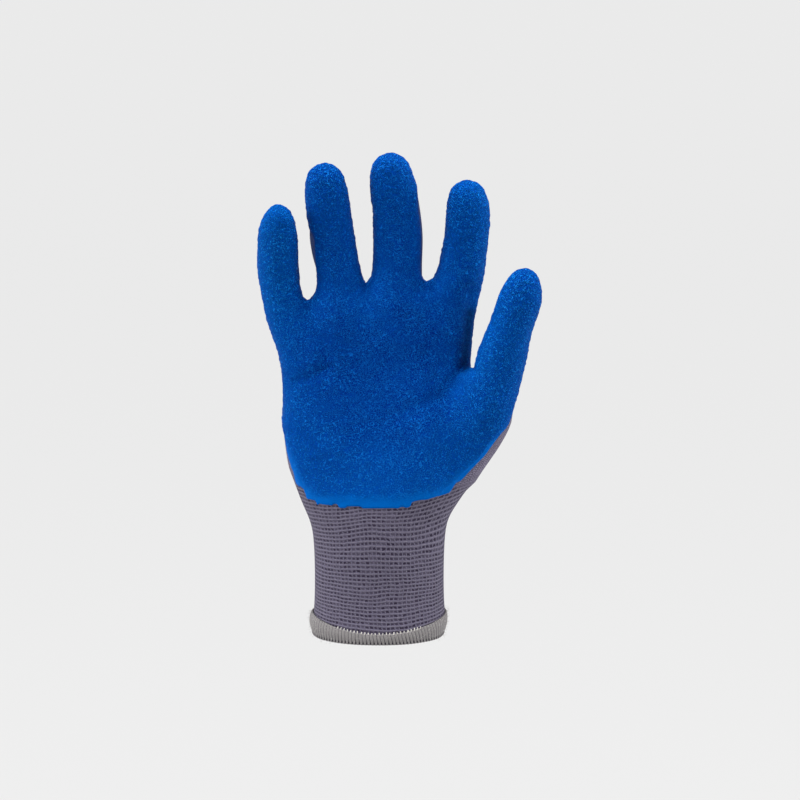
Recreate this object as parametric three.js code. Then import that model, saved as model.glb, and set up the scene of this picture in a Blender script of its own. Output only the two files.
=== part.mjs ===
// A seamless knitted work glove for the right hand, its palm, fingers and thumb dipped in latex.
// It keeps the form of the hand inside it: fingers up (+Z), palm towards -Y, thumb towards +X,
// with the origin at the centre of the wrist opening. Lengths are in millimetres, angles in degrees.
import * as THREE from "three";

// Walls, and the clearance that separate pieces keep
const KNIT_WALL = 1.2;
const LATEX_WALL = 0.9;
const PIECE_GAP = 0.3;

// Elastic cuff, from the wrist opening to where the plain knit starts
const CUFF_LENGTH = 50;
const CUFF_WIDTH = 66;
const CUFF_DEPTH = 46;
const CUFF_CURL = 3.2;

// Overlocked hem, a band of thread wrapped round the cuff's raw edge
const HEM_HEIGHT = 6.4;
const HEM_WALL = 1.1;

// Palm, from the cuff to the knuckle line
const PALM_LENGTH = 120;
const PALM_DEPTH = 44;
const PALM_HOLLOW = 3.6;
const THENAR_SWELL = 6;
const KNUCKLE_SHIFT = 3.36; // how far the knuckles lie towards the little finger from the cuff's middle

// Gaps between neighbouring fingers at the knuckle line, and how far a web stands above it
const FINGER_GAP = 6.4;
const WEB_DROP = 6;

// The four fingers from the little one to the index. A reach is the rise from the knuckle line to the
// tip, and a web lies on the finger's thumb side, at a rise above the knuckle line. The first bands of
// a digit are knitted with the palm, up to palmBands of them.
const LITTLE = {
  stall: "knit_little_finger", palmBands: 1, reach: 57.5, width: 18, depth: 16.5,
  webRise: -2.3, webShift: -1.6,
};
const RING = {
  stall: "knit_ring_finger", palmBands: 1, reach: 71.5, width: 21.2, depth: 18,
  webRise: 7.1, webShift: 0.1,
};
const MIDDLE = {
  stall: "knit_middle_finger", palmBands: 1, reach: 72, width: 22.8, depth: 19,
  webRise: 6.6, webShift: 0.6,
};
const INDEX = { stall: "knit_index_finger", palmBands: 1, reach: 60, width: 22, depth: 18.5 };
const THUMB = { stall: "knit_thumb", palmBands: 2, reach: 82.7, width: 21.5, depth: 19.5 };
const CUFF = "knit_cuff";
const PALM = "knit_palm";

// How far the latex wraps round the sides: 0 stops at the side of a finger, 1 at the middle of its back
const LATEX_WRAP = 0.06;
const LATEX_TIP_START = 0.68;
const LATEX_TIP_FULL = 0.92;
const LATEX_TIP_WRAP = 2; // what a fingertip adds to the wrap, so that the latex closes over it
const HEEL_LINE = 70;
const HEEL_LITTLE_SIDE = { width: 46.7, rise: 38, bend: 8.5 };
const HEEL_THUMB_SIDE = { width: 60, rise: 40, bend: 2.6 };
const HEEL_RISE_MOST = 54;

// Cuff sections. up: share of the cuff's length. wide, deep: shares of its width and depth.
// curl: share of the rise of the cuff's edge at both sides.
const CUFF_SECTIONS = [
  { up: 0.035, wide: 1.04, deep: 1.14, curl: 1 },
  { up: 0.2, wide: 1.015, deep: 1.08, curl: 0.5 },
  { up: 0.5, wide: 0.995, deep: 1.0, curl: 0 },
  { up: 1.0, wide: 1.01, deep: 0.99, curl: 0 },
];

// Palm sections. up: share of the way from cuff to knuckles. little, thumb: how far that side has opened
// from the cuff's half width (0) to the knuckles' (1). front, back: shares of the palm's depth.
// hollow, thenar: shares of the palm's hollow and of the swelling below the thumb. valley: how much
// shallower the palm is below the webs than below the fingers.
const PALM_SECTIONS = [
  { up: 0.11, little: 0.16, thumb: 0.24, front: 0.51, back: 0.48, hollow: 0, thenar: 0, valley: 0 },
  { up: 0.25, little: 0.44, thumb: 0.94, front: 0.48, back: 0.46, hollow: 0.1, thenar: 0.5, valley: 0 },
  { up: 0.46, little: 0.62, thumb: 0.84, front: 0.43, back: 0.45, hollow: 0.7, thenar: 1, valley: 0 },
  { up: 0.69, little: 0.65, thumb: 0.78, front: 0.36, back: 0.43, hollow: 1, thenar: 0.3, valley: 0 },
  { up: 0.8, little: 0.7, thumb: 0.81, front: 0.33, back: 0.4, hollow: 0.8, thenar: 0, valley: 0.02 },
  { up: 0.9, little: 0.82, thumb: 0.87, front: 0.305, back: 0.35, hollow: 0.4, thenar: 0, valley: 0.1 },
  { up: 1.0, little: 1.0, thumb: 1.0, front: 0.28, back: 0.29, hollow: 0, thenar: 0, valley: 0.3 },
];
const THENAR_POINTS = [0, 0, 0, 0, 0.1, 0.4, 0.8, 1, 0.7]; // its share at each point across the palm
const THUMB_FIRST_SECTION = 1; // the thumb opens between this palm section and the second one after it
const KNUCKLE_SAG = { little: 0.7, index: 1.6, back: 2.5 }; // drop of the knuckle line at its ends and behind

// Digit sections. up, out, forward: shares of the digit's reach, out towards the thumb side.
// turn: tilt towards the thumb side. wide, deep: shares of the digit's width and depth.
const LITTLE_SECTIONS = [
  { up: 0.2, out: -0.06, forward: 0.02, turn: -4, wide: 1.02, deep: 1.04 },
  { up: 0.43, out: -0.092, forward: 0.07, turn: -1, wide: 1.05, deep: 1.03 },
  { up: 0.66, out: -0.087, forward: 0.16, turn: 2, wide: 1.01, deep: 0.97 },
  { up: 0.82, out: -0.08, forward: 0.245, turn: 3, wide: 0.88, deep: 0.85 },
  { up: 0.935, out: -0.067, forward: 0.31, turn: 5, wide: 0.57, deep: 0.55 },
  { up: 1.0, out: -0.06, forward: 0.345 },
];
const RING_SECTIONS = [
  { up: 0.175, out: 0.016, forward: 0.02, turn: -5, wide: 1.0, deep: 1.04 },
  { up: 0.41, out: -0.028, forward: 0.057, turn: -8, wide: 0.985, deep: 1.0 },
  { up: 0.64, out: -0.054, forward: 0.12, turn: -5, wide: 0.945, deep: 0.95 },
  { up: 0.82, out: -0.074, forward: 0.19, turn: -4, wide: 0.9, deep: 0.86 },
  { up: 0.94, out: -0.078, forward: 0.235, turn: 0, wide: 0.67, deep: 0.6 },
  { up: 1.0, out: -0.078, forward: 0.262 },
];
const MIDDLE_SECTIONS = [
  { up: 0.175, out: 0.008, forward: 0.017, turn: 1, wide: 1.01, deep: 1.03 },
  { up: 0.41, out: 0.015, forward: 0.05, turn: -1, wide: 1.025, deep: 1.0 },
  { up: 0.63, out: 0.001, forward: 0.105, turn: -6, wide: 0.945, deep: 0.95 },
  { up: 0.81, out: -0.026, forward: 0.165, turn: -7, wide: 0.895, deep: 0.86 },
  { up: 0.935, out: -0.038, forward: 0.21, turn: -3, wide: 0.65, deep: 0.62 },
  { up: 1.0, out: -0.038, forward: 0.235 },
];
const INDEX_SECTIONS = [
  { up: 0.2, out: 0.077, forward: 0.026, turn: 9, wide: 1.01, deep: 1.03 },
  { up: 0.41, out: 0.114, forward: 0.06, turn: 8, wide: 0.945, deep: 1.0 },
  { up: 0.62, out: 0.138, forward: 0.12, turn: 2, wide: 0.915, deep: 0.95 },
  { up: 0.81, out: 0.137, forward: 0.19, turn: -4, wide: 0.865, deep: 0.86 },
  { up: 0.935, out: 0.12, forward: 0.24, turn: -10, wide: 0.62, deep: 0.6 },
  { up: 1.0, out: 0.102, forward: 0.27 },
];
const THUMB_SECTIONS = [
  { up: 0.178, out: 0.161, forward: 0.037, turn: 62, wide: 1.62, deep: 1.5 },
  { up: 0.34, out: 0.2, forward: 0.073, turn: 36, wide: 1.15, deep: 1.3 },
  { up: 0.497, out: 0.236, forward: 0.115, turn: 18, wide: 1.06, deep: 1.15 },
  { up: 0.666, out: 0.28, forward: 0.154, turn: 12, wide: 0.89, deep: 1.03 },
  { up: 0.799, out: 0.322, forward: 0.197, turn: 14, wide: 0.91, deep: 0.95 },
  { up: 0.899, out: 0.341, forward: 0.227, turn: 5, wide: 0.765, deep: 0.77 },
  { up: 0.966, out: 0.346, forward: 0.244, turn: 0, wide: 0.47, deep: 0.46 },
  { up: 1.0, out: 0.347, forward: 0.252 },
];

const FINGERS = [LITTLE, RING, MIDDLE, INDEX];
const FINGER_SECTIONS = [LITTLE_SECTIONS, RING_SECTIONS, MIDDLE_SECTIONS, INDEX_SECTIONS];

// A section of the hand has 20 points: 9 across the palm side from the little finger to the thumb, one at
// the thumb side, 9 back across the back of the hand and one at the little finger's side.
const FRONT_POINTS = 2 * FINGERS.length + 1;
const THUMB_SIDE = FRONT_POINTS;
const LAST_BACK = 2 * FRONT_POINTS;
const HAND_POINTS = LAST_BACK + 2;
const CUFF_ROUNDNESS = 2.1; // exponents of the superellipses that the sections follow
const PALM_ROUNDNESS = 2.6;
const DIGIT_ANGLES = [225, 270, 315, 0, 45, 90, 135, 180]; // from front inner corner, thumb side at 0
const CORNER = Math.SQRT1_2;
const BACK_LENGTH = PALM_DEPTH / 4; // about how far the skin runs while back grows by 1
const SETTLING_PASSES = 3;
const SCORE_SLIDE = 0.34; // vertices this close to a scored line, as a share of their edge, slide onto it

const { lerp, degToRad, smoothstep } = THREE.MathUtils;

// The cage: the drawn points of the hand's skin, joined by quads. back runs from -1 on the palm side to
// 1 on the back of the hand, and rise from 0 at a digit's root to 1 at its tip. A face's stall names the
// knitted tube that it belongs to.
class Cage {
  points = [];
  quads = [];

  add(x, y, z, back, rise = 0) {
    const point = new THREE.Vector3(x, y, z);
    this.points.push(Object.assign(point, { back, rise }));
    return this.points.length - 1;
  }

  band(stall, lower, upper, skip = () => false) {
    lower.forEach((corner, i) => {
      const next = (i + 1) % lower.length;
      if (!skip(i)) this.quads.push({ stall, corners: [corner, lower[next], upper[next], upper[i]] });
    });
  }

  cap(stall, ring, tip) {
    for (let i = 0; i < ring.length; i += 2) {
      this.quads.push({ stall, corners: [ring[i], ring[i + 1], ring[(i + 2) % ring.length], tip] });
    }
  }
}

// Where the knuckle line's points lie across the hand, worked out from the finger widths
function knuckleLine() {
  const width = FINGERS.reduce((sum, finger) => sum + finger.width, 0) + FINGER_GAP * (FINGERS.length - 1);
  const places = [];
  const rises = [];
  let edge = -width / 2 - KNUCKLE_SHIFT;
  const littleEdge = edge;
  FINGERS.forEach((finger, i) => {
    const middle = edge + finger.width / 2;
    const lastWeb = i > 0 ? FINGERS[i - 1].webRise : finger.webRise;
    const nextWeb = finger.webRise ?? lastWeb;
    if (i === 0) places.push(middle - CORNER * finger.width / 2);
    places.push(middle);
    if (i < FINGERS.length - 1) places.push(edge + finger.width + FINGER_GAP / 2);
    else places.push(middle + CORNER * finger.width / 2);
    if (i === 0) rises.push(finger.webRise - WEB_DROP - 2 * KNUCKLE_SAG.little);
    rises.push((lastWeb + nextWeb) / 2 - WEB_DROP - (i === 0 ? KNUCKLE_SAG.little : 0));
    rises.push(nextWeb - WEB_DROP - (finger === INDEX ? KNUCKLE_SAG.index : 0));
    edge += finger.width + FINGER_GAP;
  });
  return { places, rises, littleEdge, thumbEdge: littleEdge + width };
}

// Which point across the palm a section point lies over: the back mirrors the front
function across(i) {
  if (i === THUMB_SIDE) return FRONT_POINTS - 1;
  if (i === HAND_POINTS - 1) return 0;
  return i < FRONT_POINTS ? i : LAST_BACK - i;
}

function sideOf(i) {
  if (i === THUMB_SIDE || i === HAND_POINTS - 1) return 0;
  const corner = across(i) % (FRONT_POINTS - 1) === 0 ? CORNER : 1;
  return i < FRONT_POINTS ? -corner : corner;
}

function underWeb(i) {
  return across(i) % 2 === 0 && across(i) > 0 && across(i) < FRONT_POINTS - 1;
}

// One ring of the hand's skin between a little-finger side and a thumb side
function handRing(cage, line, section) {
  const { left, right, front, back, roundness, hollow = 0, thenar = 0, valley = 0, heightAt } = section;
  const ring = [];
  const middle = (left + right) / 2;
  const half = (right - left) / 2;
  const knuckleMiddle = (line.littleEdge + line.thumbEdge) / 2;
  const knuckleHalf = (line.thumbEdge - line.littleEdge) / 2;
  for (let i = 0; i < HAND_POINTS; i++) {
    const side = sideOf(i);
    const share = side === 0 ? (i === THUMB_SIDE ? 1 : -1)
      : (line.places[across(i)] - knuckleMiddle) / knuckleHalf;
    const round = (1 - Math.abs(share) ** roundness) ** (1 / roundness);
    const shape = round * (underWeb(i) ? 1 - valley : 1);
    const dent = hollow * Math.cos(share * Math.PI / 2) - thenar * THENAR_POINTS[across(i)];
    const y = side === 0 ? (back - front) / 2 * CORNER : side < 0 ? dent - front * shape : back * shape;
    ring.push(cage.add(middle + half * share, y, heightAt(i, share), side));
  }
  return ring;
}

// A finger or the thumb, swept from its root ring through its sections to a rounded tip
function digit(cage, root, { stall, reach, width, depth, palmBands }, sections) {
  const start = root.reduce((sum, i) => sum.add(cage.points[i]), new THREE.Vector3());
  start.divideScalar(root.length);
  const centre = ({ up, out, forward }) =>
    new THREE.Vector3(start.x + out * reach, start.y - forward * reach, start.z + up * reach);
  let below = root;
  let last = { up: 0, forward: 0 };
  sections.slice(0, -1).forEach((section, band) => {
    const lean = Math.atan2(section.forward - last.forward, section.up - last.up);
    const turn = degToRad(section.turn);
    const outward = new THREE.Vector3(Math.cos(turn), 0, -Math.sin(turn));
    const along = new THREE.Vector3(Math.sin(turn) * Math.cos(lean), -Math.sin(lean),
      Math.cos(turn) * Math.cos(lean));
    const backward = along.clone().cross(outward);
    const ring = DIGIT_ANGLES.map((angle) => {
      const a = degToRad(angle);
      const p = centre(section)
        .addScaledVector(outward, Math.cos(a) * section.wide * width / 2)
        .addScaledVector(backward, Math.sin(a) * section.deep * depth / 2);
      return cage.add(p.x, p.y, p.z, Math.sin(a), section.up);
    });
    cage.band(band < palmBands ? PALM : stall, below, ring);
    below = ring;
    last = section;
  });
  const end = centre(sections.at(-1));
  cage.cap(stall, below, cage.add(end.x, end.y, end.z, 0, 1));
}

// The whole skin, from the wrist opening to the fingertips
function drawHand() {
  const cage = new Cage();
  const line = knuckleLine();
  const rings = CUFF_SECTIONS.map(({ up, wide, deep, curl }) => handRing(cage, line, {
    left: -wide * CUFF_WIDTH / 2, right: wide * CUFF_WIDTH / 2,
    front: deep * CUFF_DEPTH / 2, back: deep * CUFF_DEPTH / 2,
    roundness: CUFF_ROUNDNESS,
    heightAt: (i, share) => up * CUFF_LENGTH + curl * CUFF_CURL * share ** 2,
  }));
  const palmStart = rings.length;
  for (const { up, little, thumb, front, back, hollow, thenar, valley } of PALM_SECTIONS) {
    rings.push(handRing(cage, line, {
      left: lerp(-CUFF_WIDTH / 2, line.littleEdge, little),
      right: lerp(CUFF_WIDTH / 2, line.thumbEdge, thumb),
      front: front * PALM_DEPTH, back: back * PALM_DEPTH,
      roundness: lerp(CUFF_ROUNDNESS, PALM_ROUNDNESS, up),
      hollow: hollow * PALM_HOLLOW, thenar: thenar * THENAR_SWELL, valley,
      heightAt: (i) => {
        const sag = sideOf(i) > 0 ? KNUCKLE_SAG.back : 0;
        return CUFF_LENGTH + up * (PALM_LENGTH + line.rises[across(i)] - sag);
      },
    }));
  }

  // The thumb's hole takes four quads at the thumb side, two sections tall
  const low = palmStart + THUMB_FIRST_SECTION;
  const atThumb = (i) => i === THUMB_SIDE - 2 || i === THUMB_SIDE - 1;
  for (let r = 1; r < rings.length; r++) {
    const holed = r === low + 1 || r === low + 2;
    cage.band(r < CUFF_SECTIONS.length ? CUFF : PALM, rings[r - 1], rings[r], (i) => holed && atThumb(i));
  }
  const [front, side, back] = [THUMB_SIDE - 2, THUMB_SIDE - 1, THUMB_SIDE];
  const [bottom, middle, top] = [rings[low], rings[low + 1], rings[low + 2]];
  digit(cage, [top[front], middle[front], bottom[front], bottom[side],
    bottom[back], middle[back], top[back], top[side]], THUMB, THUMB_SECTIONS);

  // Each finger stands on its share of the knuckle ring and on the webs between it and its neighbours
  const knuckles = rings.at(-1);
  const webs = FINGERS.slice(0, -1).map(({ webRise, webShift }, k) => {
    const x = line.places[2 * k + 2] + webShift;
    const y = (cage.points[knuckles[2 * k + 2]].y + cage.points[knuckles[LAST_BACK - 2 * k - 2]].y) / 2;
    return cage.add(x, y, CUFF_LENGTH + PALM_LENGTH + webRise, 0);
  });
  FINGERS.forEach((finger, k) => {
    const first = 2 * k;
    const thumbSide = webs[k] ?? knuckles[THUMB_SIDE];
    const littleSide = webs[k - 1] ?? knuckles[HAND_POINTS - 1];
    const root = [first, first + 1, first + 2].map((i) => knuckles[i]);
    const behind = [first + 2, first + 1, first].map((i) => knuckles[LAST_BACK - i]);
    digit(cage, [...root, thumbSide, ...behind, littleSide], finger, FINGER_SECTIONS[k]);
  });
  dropUnused(cage);
  return cage;
}

// The middle of the thumb's hole is drawn with its ring but carries no face
function dropUnused(cage) {
  const kept = [...new Set(cage.quads.flatMap(({ corners }) => corners))].sort((a, b) => a - b);
  const places = new Map(kept.map((old, i) => [old, i]));
  cage.points = kept.map((old) => cage.points[old]);
  for (const quad of cage.quads) quad.corners = quad.corners.map((i) => places.get(i));
}

const edgeKey = (a, b) => (a < b ? `${a},${b}` : `${b},${a}`);

function meanOf(points) {
  const mean = Object.assign(new THREE.Vector3(), { back: 0, rise: 0 });
  for (const p of points) {
    mean.add(p);
    mean.back += p.back / points.length;
    mean.rise += p.rise / points.length;
  }
  return Object.assign(mean.divideScalar(points.length), { back: mean.back, rise: mean.rise });
}

// One step of Catmull-Clark subdivision. The cage's own points come first, in their old order.
function refine(cage) {
  const { points, quads } = cage;
  const facePoints = quads.map(({ corners }) => meanOf(corners.map((i) => points[i])));
  const edges = new Map();
  quads.forEach(({ corners }, f) => corners.forEach((a, i) => {
    const b = corners[(i + 1) % corners.length];
    const key = edgeKey(a, b);
    if (!edges.has(key)) edges.set(key, { ends: [a, b], faces: [], index: points.length + edges.size });
    edges.get(key).faces.push(f);
  }));
  const around = points.map(() => ({ middles: [], faces: new Set(), rims: [] }));
  for (const { ends, faces } of edges.values()) {
    const middle = meanOf(ends.map((i) => points[i]));
    for (const i of ends) {
      around[i].middles.push(middle);
      faces.forEach((f) => around[i].faces.add(f));
      if (faces.length === 1) around[i].rims.push(middle);
    }
  }
  const fine = new Cage();
  points.forEach((p, i) => {
    const { middles, faces, rims } = around[i];
    const moved = p.clone();
    if (rims.length) moved.multiplyScalar(0.5).addScaledVector(meanOf(rims), 0.5);
    else {
      const n = middles.length;
      moved.multiplyScalar((n - 3) / n).addScaledVector(meanOf(middles), 2 / n)
        .addScaledVector(meanOf([...faces].map((f) => facePoints[f])), 1 / n);
    }
    fine.points.push(Object.assign(moved, { back: p.back, rise: p.rise }));
  });
  for (const { ends, faces } of edges.values()) {
    const middle = meanOf(ends.map((i) => points[i]));
    if (faces.length === 2) middle.lerp(meanOf(faces.map((f) => facePoints[f])), 0.5);
    fine.points.push(middle);
  }
  const firstFace = fine.points.length;
  fine.points.push(...facePoints);
  quads.forEach(({ stall, corners }, f) => corners.forEach((corner, i) => {
    const next = edges.get(edgeKey(corner, corners[(i + 1) % corners.length])).index;
    const last = edges.get(edgeKey(corners.at(i - 1), corner)).index;
    fine.quads.push({ stall, corners: [corner, next, firstFace + f, last] });
  }));
  return fine;
}

// Subdivision draws a cage inwards, so its points are moved out until the fine skin passes through
// the places that were drawn.
function smoothSkin(cage) {
  const drawn = cage.points.map((p) => p.clone());
  for (let pass = 0; pass < SETTLING_PASSES; pass++) {
    const fine = refine(cage);
    cage.points.forEach((p, i) => p.add(drawn[i]).sub(fine.points[i]));
  }
  return refine(cage);
}

// The skin as triangles, each corner a vertex with its outward normal
function skinSurface() {
  const { points, quads } = smoothSkin(drawHand());
  const normals = points.map(() => new THREE.Vector3());
  const triangles = [];
  for (const { stall, corners } of quads) {
    const [a, b, c, d] = corners.map((i) => points[i]);
    const normal = c.clone().sub(a).cross(d.clone().sub(b));
    corners.forEach((i) => normals[i].add(normal));
    const [p, q, r, s] = a.distanceTo(c) < b.distanceTo(d) ? corners : [...corners.slice(1), corners[0]];
    triangles.push({ stall, corners: [p, q, r] }, { stall, corners: [p, r, s] });
  }
  const vertices = points.map((at, i) => {
    const { back, rise } = at;
    return { at, normal: normals[i].normalize(), back, rise };
  });
  return { vertices, triangles };
}

function between(a, b, share) {
  return {
    at: a.at.clone().lerp(b.at, share),
    normal: a.normal.clone().lerp(b.normal, share).normalize(),
    back: lerp(a.back, b.back, share),
    rise: lerp(a.rise, b.rise, share),
  };
}

// A surface scored along the line where a field is zero, with the triangles on either side of the line.
// Vertices close to the line slide onto it, and other triangles that cross it are cut.
function score({ vertices, triangles }, field) {
  const moved = vertices.slice();
  const values = vertices.map(field);
  const nearest = new Map();
  for (const { corners: triangle } of triangles) {
    triangle.forEach((a, i) => {
      const b = triangle[(i + 1) % 3];
      for (const [from, to] of [[a, b], [b, a]]) {
        if (values[from] * values[to] >= 0) continue;
        const share = values[from] / (values[from] - values[to]);
        if (share < (nearest.get(from)?.share ?? SCORE_SLIDE)) nearest.set(from, { to, share });
      }
    });
  }
  for (const [from, { to, share }] of nearest) {
    moved[from] = between(vertices[from], vertices[to], share);
    values[from] = 0;
  }
  const cuts = new Map();
  const cut = (a, b) => {
    const key = edgeKey(a, b);
    if (!cuts.has(key)) {
      cuts.set(key, moved.length);
      moved.push(between(moved[a], moved[b], values[a] / (values[a] - values[b])));
    }
    return cuts.get(key);
  };
  const sides = { above: [], below: [] };
  for (const { stall, corners: triangle } of triangles) {
    for (const [name, sign] of [["above", 1], ["below", -1]]) {
      if (!triangle.some((i) => sign * values[i] > 0)) continue;
      const outline = [];
      triangle.forEach((a, i) => {
        const b = triangle[(i + 1) % 3];
        if (sign * values[a] >= 0) outline.push(a);
        if (values[a] * values[b] < 0) outline.push(cut(a, b));
      });
      for (let i = 2; i < outline.length; i++) {
        sides[name].push({ stall, corners: [outline[0], outline[i - 1], outline[i]] });
      }
    }
  }
  return { vertices: moved, ...sides };
}

// One stall of the skin. Where it meets another stall its rim is drawn back, so that a gap stays.
function stallOf({ vertices, triangles }, stall) {
  const own = triangles.filter((triangle) => triangle.stall === stall);
  const mouth = new Set(rimEdges(triangles).flat());
  const seam = new Set(rimEdges(own).flat().filter((i) => !mouth.has(i)));
  const drawn = vertices.slice();
  for (const i of seam) {
    const { at, normal } = vertices[i];
    const beside = own.filter(({ corners }) => corners.includes(i));
    const inwards = beside.reduce((sum, { corners }) => {
      corners.forEach((corner) => sum.add(vertices[corner].at).sub(at));
      return sum;
    }, new THREE.Vector3());
    inwards.addScaledVector(normal, -inwards.dot(normal)).setLength(PIECE_GAP / 2);
    drawn[i] = { ...vertices[i], at: at.clone().add(inwards) };
  }
  return { vertices: drawn, triangles: own };
}

// Directed edges that only one triangle uses
function rimEdges(triangles) {
  const edges = new Map();
  for (const { corners } of triangles) {
    corners.forEach((a, i) => {
      const key = edgeKey(a, corners[(i + 1) % 3]);
      edges.set(key, edges.has(key) ? null : [a, corners[(i + 1) % 3]]);
    });
  }
  return [...edges.values()].filter(Boolean);
}

// A closed wall between two offsets from a surface
function wall({ vertices, triangles }, inner, outer) {
  const places = new Map();
  const positions = [];
  const place = (i, offset) => {
    const key = `${i},${offset}`;
    if (!places.has(key)) {
      places.set(key, positions.length / 3);
      positions.push(...vertices[i].at.clone().addScaledVector(vertices[i].normal, offset));
    }
    return places.get(key);
  };
  const index = [];
  for (const { corners: [a, b, c] } of triangles) {
    index.push(place(a, outer), place(b, outer), place(c, outer));
    index.push(place(c, inner), place(b, inner), place(a, inner));
  }
  for (const [a, b] of rimEdges(triangles)) {
    index.push(place(b, outer), place(a, outer), place(a, inner));
    index.push(place(b, outer), place(a, inner), place(b, inner));
  }
  const geometry = new THREE.BufferGeometry();
  geometry.setAttribute("position", new THREE.Float32BufferAttribute(positions, 3));
  geometry.setIndex(index);
  return geometry;
}

// The lower edge of the latex across the palm: flat over the heel, rising towards both sides
function heelLine(x) {
  const { width, rise, bend } = x < 0 ? HEEL_LITTLE_SIDE : HEEL_THUMB_SIDE;
  return HEEL_LINE + Math.min(HEEL_RISE_MOST, rise * (Math.abs(x) / width) ** bend);
}

function latexField({ at, back, rise }) {
  const tip = smoothstep(rise, LATEX_TIP_START, LATEX_TIP_FULL) * LATEX_TIP_WRAP;
  const wrap = (LATEX_WRAP + tip - back) * BACK_LENGTH;
  return Math.min(wrap, at.z - heelLine(at.x));
}

// The hem's U-shaped section, swept round the cuff's edge with the knit's wall in its groove
function hemGeometry({ vertices, triangles }) {
  const mouth = rimEdges(triangles).filter((edge) => edge.every((i) => vertices[i].at.z < HEM_HEIGHT));
  const next = new Map(mouth);
  const loop = [mouth[0][0]];
  while (loop.length < mouth.length) loop.push(next.get(loop.at(-1)));
  const outside = PIECE_GAP + HEM_WALL;
  const inside = -KNIT_WALL - PIECE_GAP;
  const soft = HEM_WALL / 2;
  const bottom = -PIECE_GAP - HEM_WALL;
  const top = bottom + HEM_HEIGHT;
  const section = [
    [outside, bottom + soft], [outside, top - soft], [outside - soft, top], [PIECE_GAP, top],
    [PIECE_GAP, -PIECE_GAP], [inside, -PIECE_GAP], [inside, top], [inside - HEM_WALL, top],
    [inside - HEM_WALL, bottom + soft], [inside - HEM_WALL + soft, bottom], [outside - soft, bottom],
  ];
  const positions = [];
  loop.forEach((i, k) => {
    const { at, normal } = vertices[i];
    const along = vertices[loop.at(k - 1)].at.clone().sub(vertices[loop[(k + 1) % loop.length]].at);
    const upward = along.cross(normal).normalize();
    for (const [reach, height] of section) {
      positions.push(...at.clone().addScaledVector(normal, reach).addScaledVector(upward, height));
    }
  });
  const index = [];
  loop.forEach((_, i) => section.forEach((_, j) => {
    const [here, there] = [i * section.length, ((i + 1) % loop.length) * section.length];
    const k = (j + 1) % section.length;
    index.push(here + j, there + j, there + k, here + j, there + k, here + k);
  }));
  const geometry = new THREE.BufferGeometry();
  geometry.setAttribute("position", new THREE.Float32BufferAttribute(positions, 3));
  geometry.setIndex(index);
  return geometry;
}

function piece(name, geometry, color, roughness) {
  geometry.computeVertexNormals();
  const mesh = new THREE.Mesh(geometry, new THREE.MeshStandardMaterial({ color, roughness, metalness: 0 }));
  mesh.name = name;
  return mesh;
}

const skin = skinSurface();
const dipped = score(skin, latexField);
const knit = { vertices: dipped.vertices, triangles: [...dipped.above, ...dipped.below] };
const coating = { vertices: dipped.vertices, triangles: dipped.above };
const stalls = [CUFF, PALM, THUMB.stall, ...FINGERS.map((finger) => finger.stall)];

const glove = new THREE.Group();
for (const stall of stalls) {
  const color = stall === CUFF ? 0x5f5c6c : 0x6b6878;
  glove.add(piece(stall, wall(stallOf(knit, stall), -KNIT_WALL, 0), color, 0.9));
}
glove.add(
  piece("latex_coating", wall(coating, PIECE_GAP, PIECE_GAP + LATEX_WALL), 0x0450a8, 0.55),
  piece("hem_overlock", hemGeometry(stallOf(knit, CUFF)), 0x9a9994, 0.85),
);

export default glove;
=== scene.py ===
"""The looks of a knitted work glove with a latex coating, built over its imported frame.

Lengths are in metres and in the frame's own axes: fingers up (+Z), palm towards -Y and thumb
towards +X. The knit skin, the latex coat and the overlocked hem are each a class, and so is the
studio that they hang in.
"""

import logging
import math
from collections.abc import Callable
from dataclasses import dataclass
from enum import Enum

import bmesh
import bpy
import numpy as np
from bmesh.types import BMEdge, BMesh, BMVert
from bpy.types import Material, Mesh, NodeSocket, Object
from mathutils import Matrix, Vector, noise
from mathutils.bvhtree import BVHTree
from mathutils.kdtree import KDTree


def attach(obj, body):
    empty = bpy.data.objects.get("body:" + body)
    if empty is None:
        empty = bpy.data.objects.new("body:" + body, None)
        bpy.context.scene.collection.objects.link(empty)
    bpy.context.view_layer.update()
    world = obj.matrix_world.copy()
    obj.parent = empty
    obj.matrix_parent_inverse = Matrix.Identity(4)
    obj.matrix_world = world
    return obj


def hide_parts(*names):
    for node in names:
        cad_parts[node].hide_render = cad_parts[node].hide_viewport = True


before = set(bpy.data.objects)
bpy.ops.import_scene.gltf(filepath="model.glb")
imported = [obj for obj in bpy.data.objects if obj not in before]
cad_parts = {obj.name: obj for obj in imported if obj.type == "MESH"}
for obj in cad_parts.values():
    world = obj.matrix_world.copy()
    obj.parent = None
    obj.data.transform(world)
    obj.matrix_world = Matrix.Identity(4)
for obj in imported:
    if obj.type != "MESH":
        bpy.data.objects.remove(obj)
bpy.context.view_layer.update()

BODY = "root"
MM = 0.001
SHARP = math.radians(62)
SAME_PLACE = 0.001 * MM
FAR = 1e9
STEEP = 0.2
CHUNK = 20000
LATEX_NODE = "latex_coating"
HEM_NODE = "hem_overlock"
LOG = logging.getLogger("glove")


class Slot(Enum):
    """The record's material slots."""

    LINER = "liner_knit"
    CUFF = "cuff_knit"
    LATEX = "latex"
    HEM = "hem_thread"


class Stall(Enum):
    """The knitted tubes of the glove, each a node of the frame."""

    CUFF = "knit_cuff"
    PALM = "knit_palm"
    THUMB = "knit_thumb"
    LITTLE = "knit_little_finger"
    RING = "knit_ring_finger"
    MIDDLE = "knit_middle_finger"
    INDEX = "knit_index_finger"


STALLS = list(Stall)


Colour = tuple[float, float, float, float]
Spread = tuple[float, float, float]
# Where an ease starts, where it ends and, unless it is 1, the share that it reaches.
Fade = tuple[float, ...]


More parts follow.
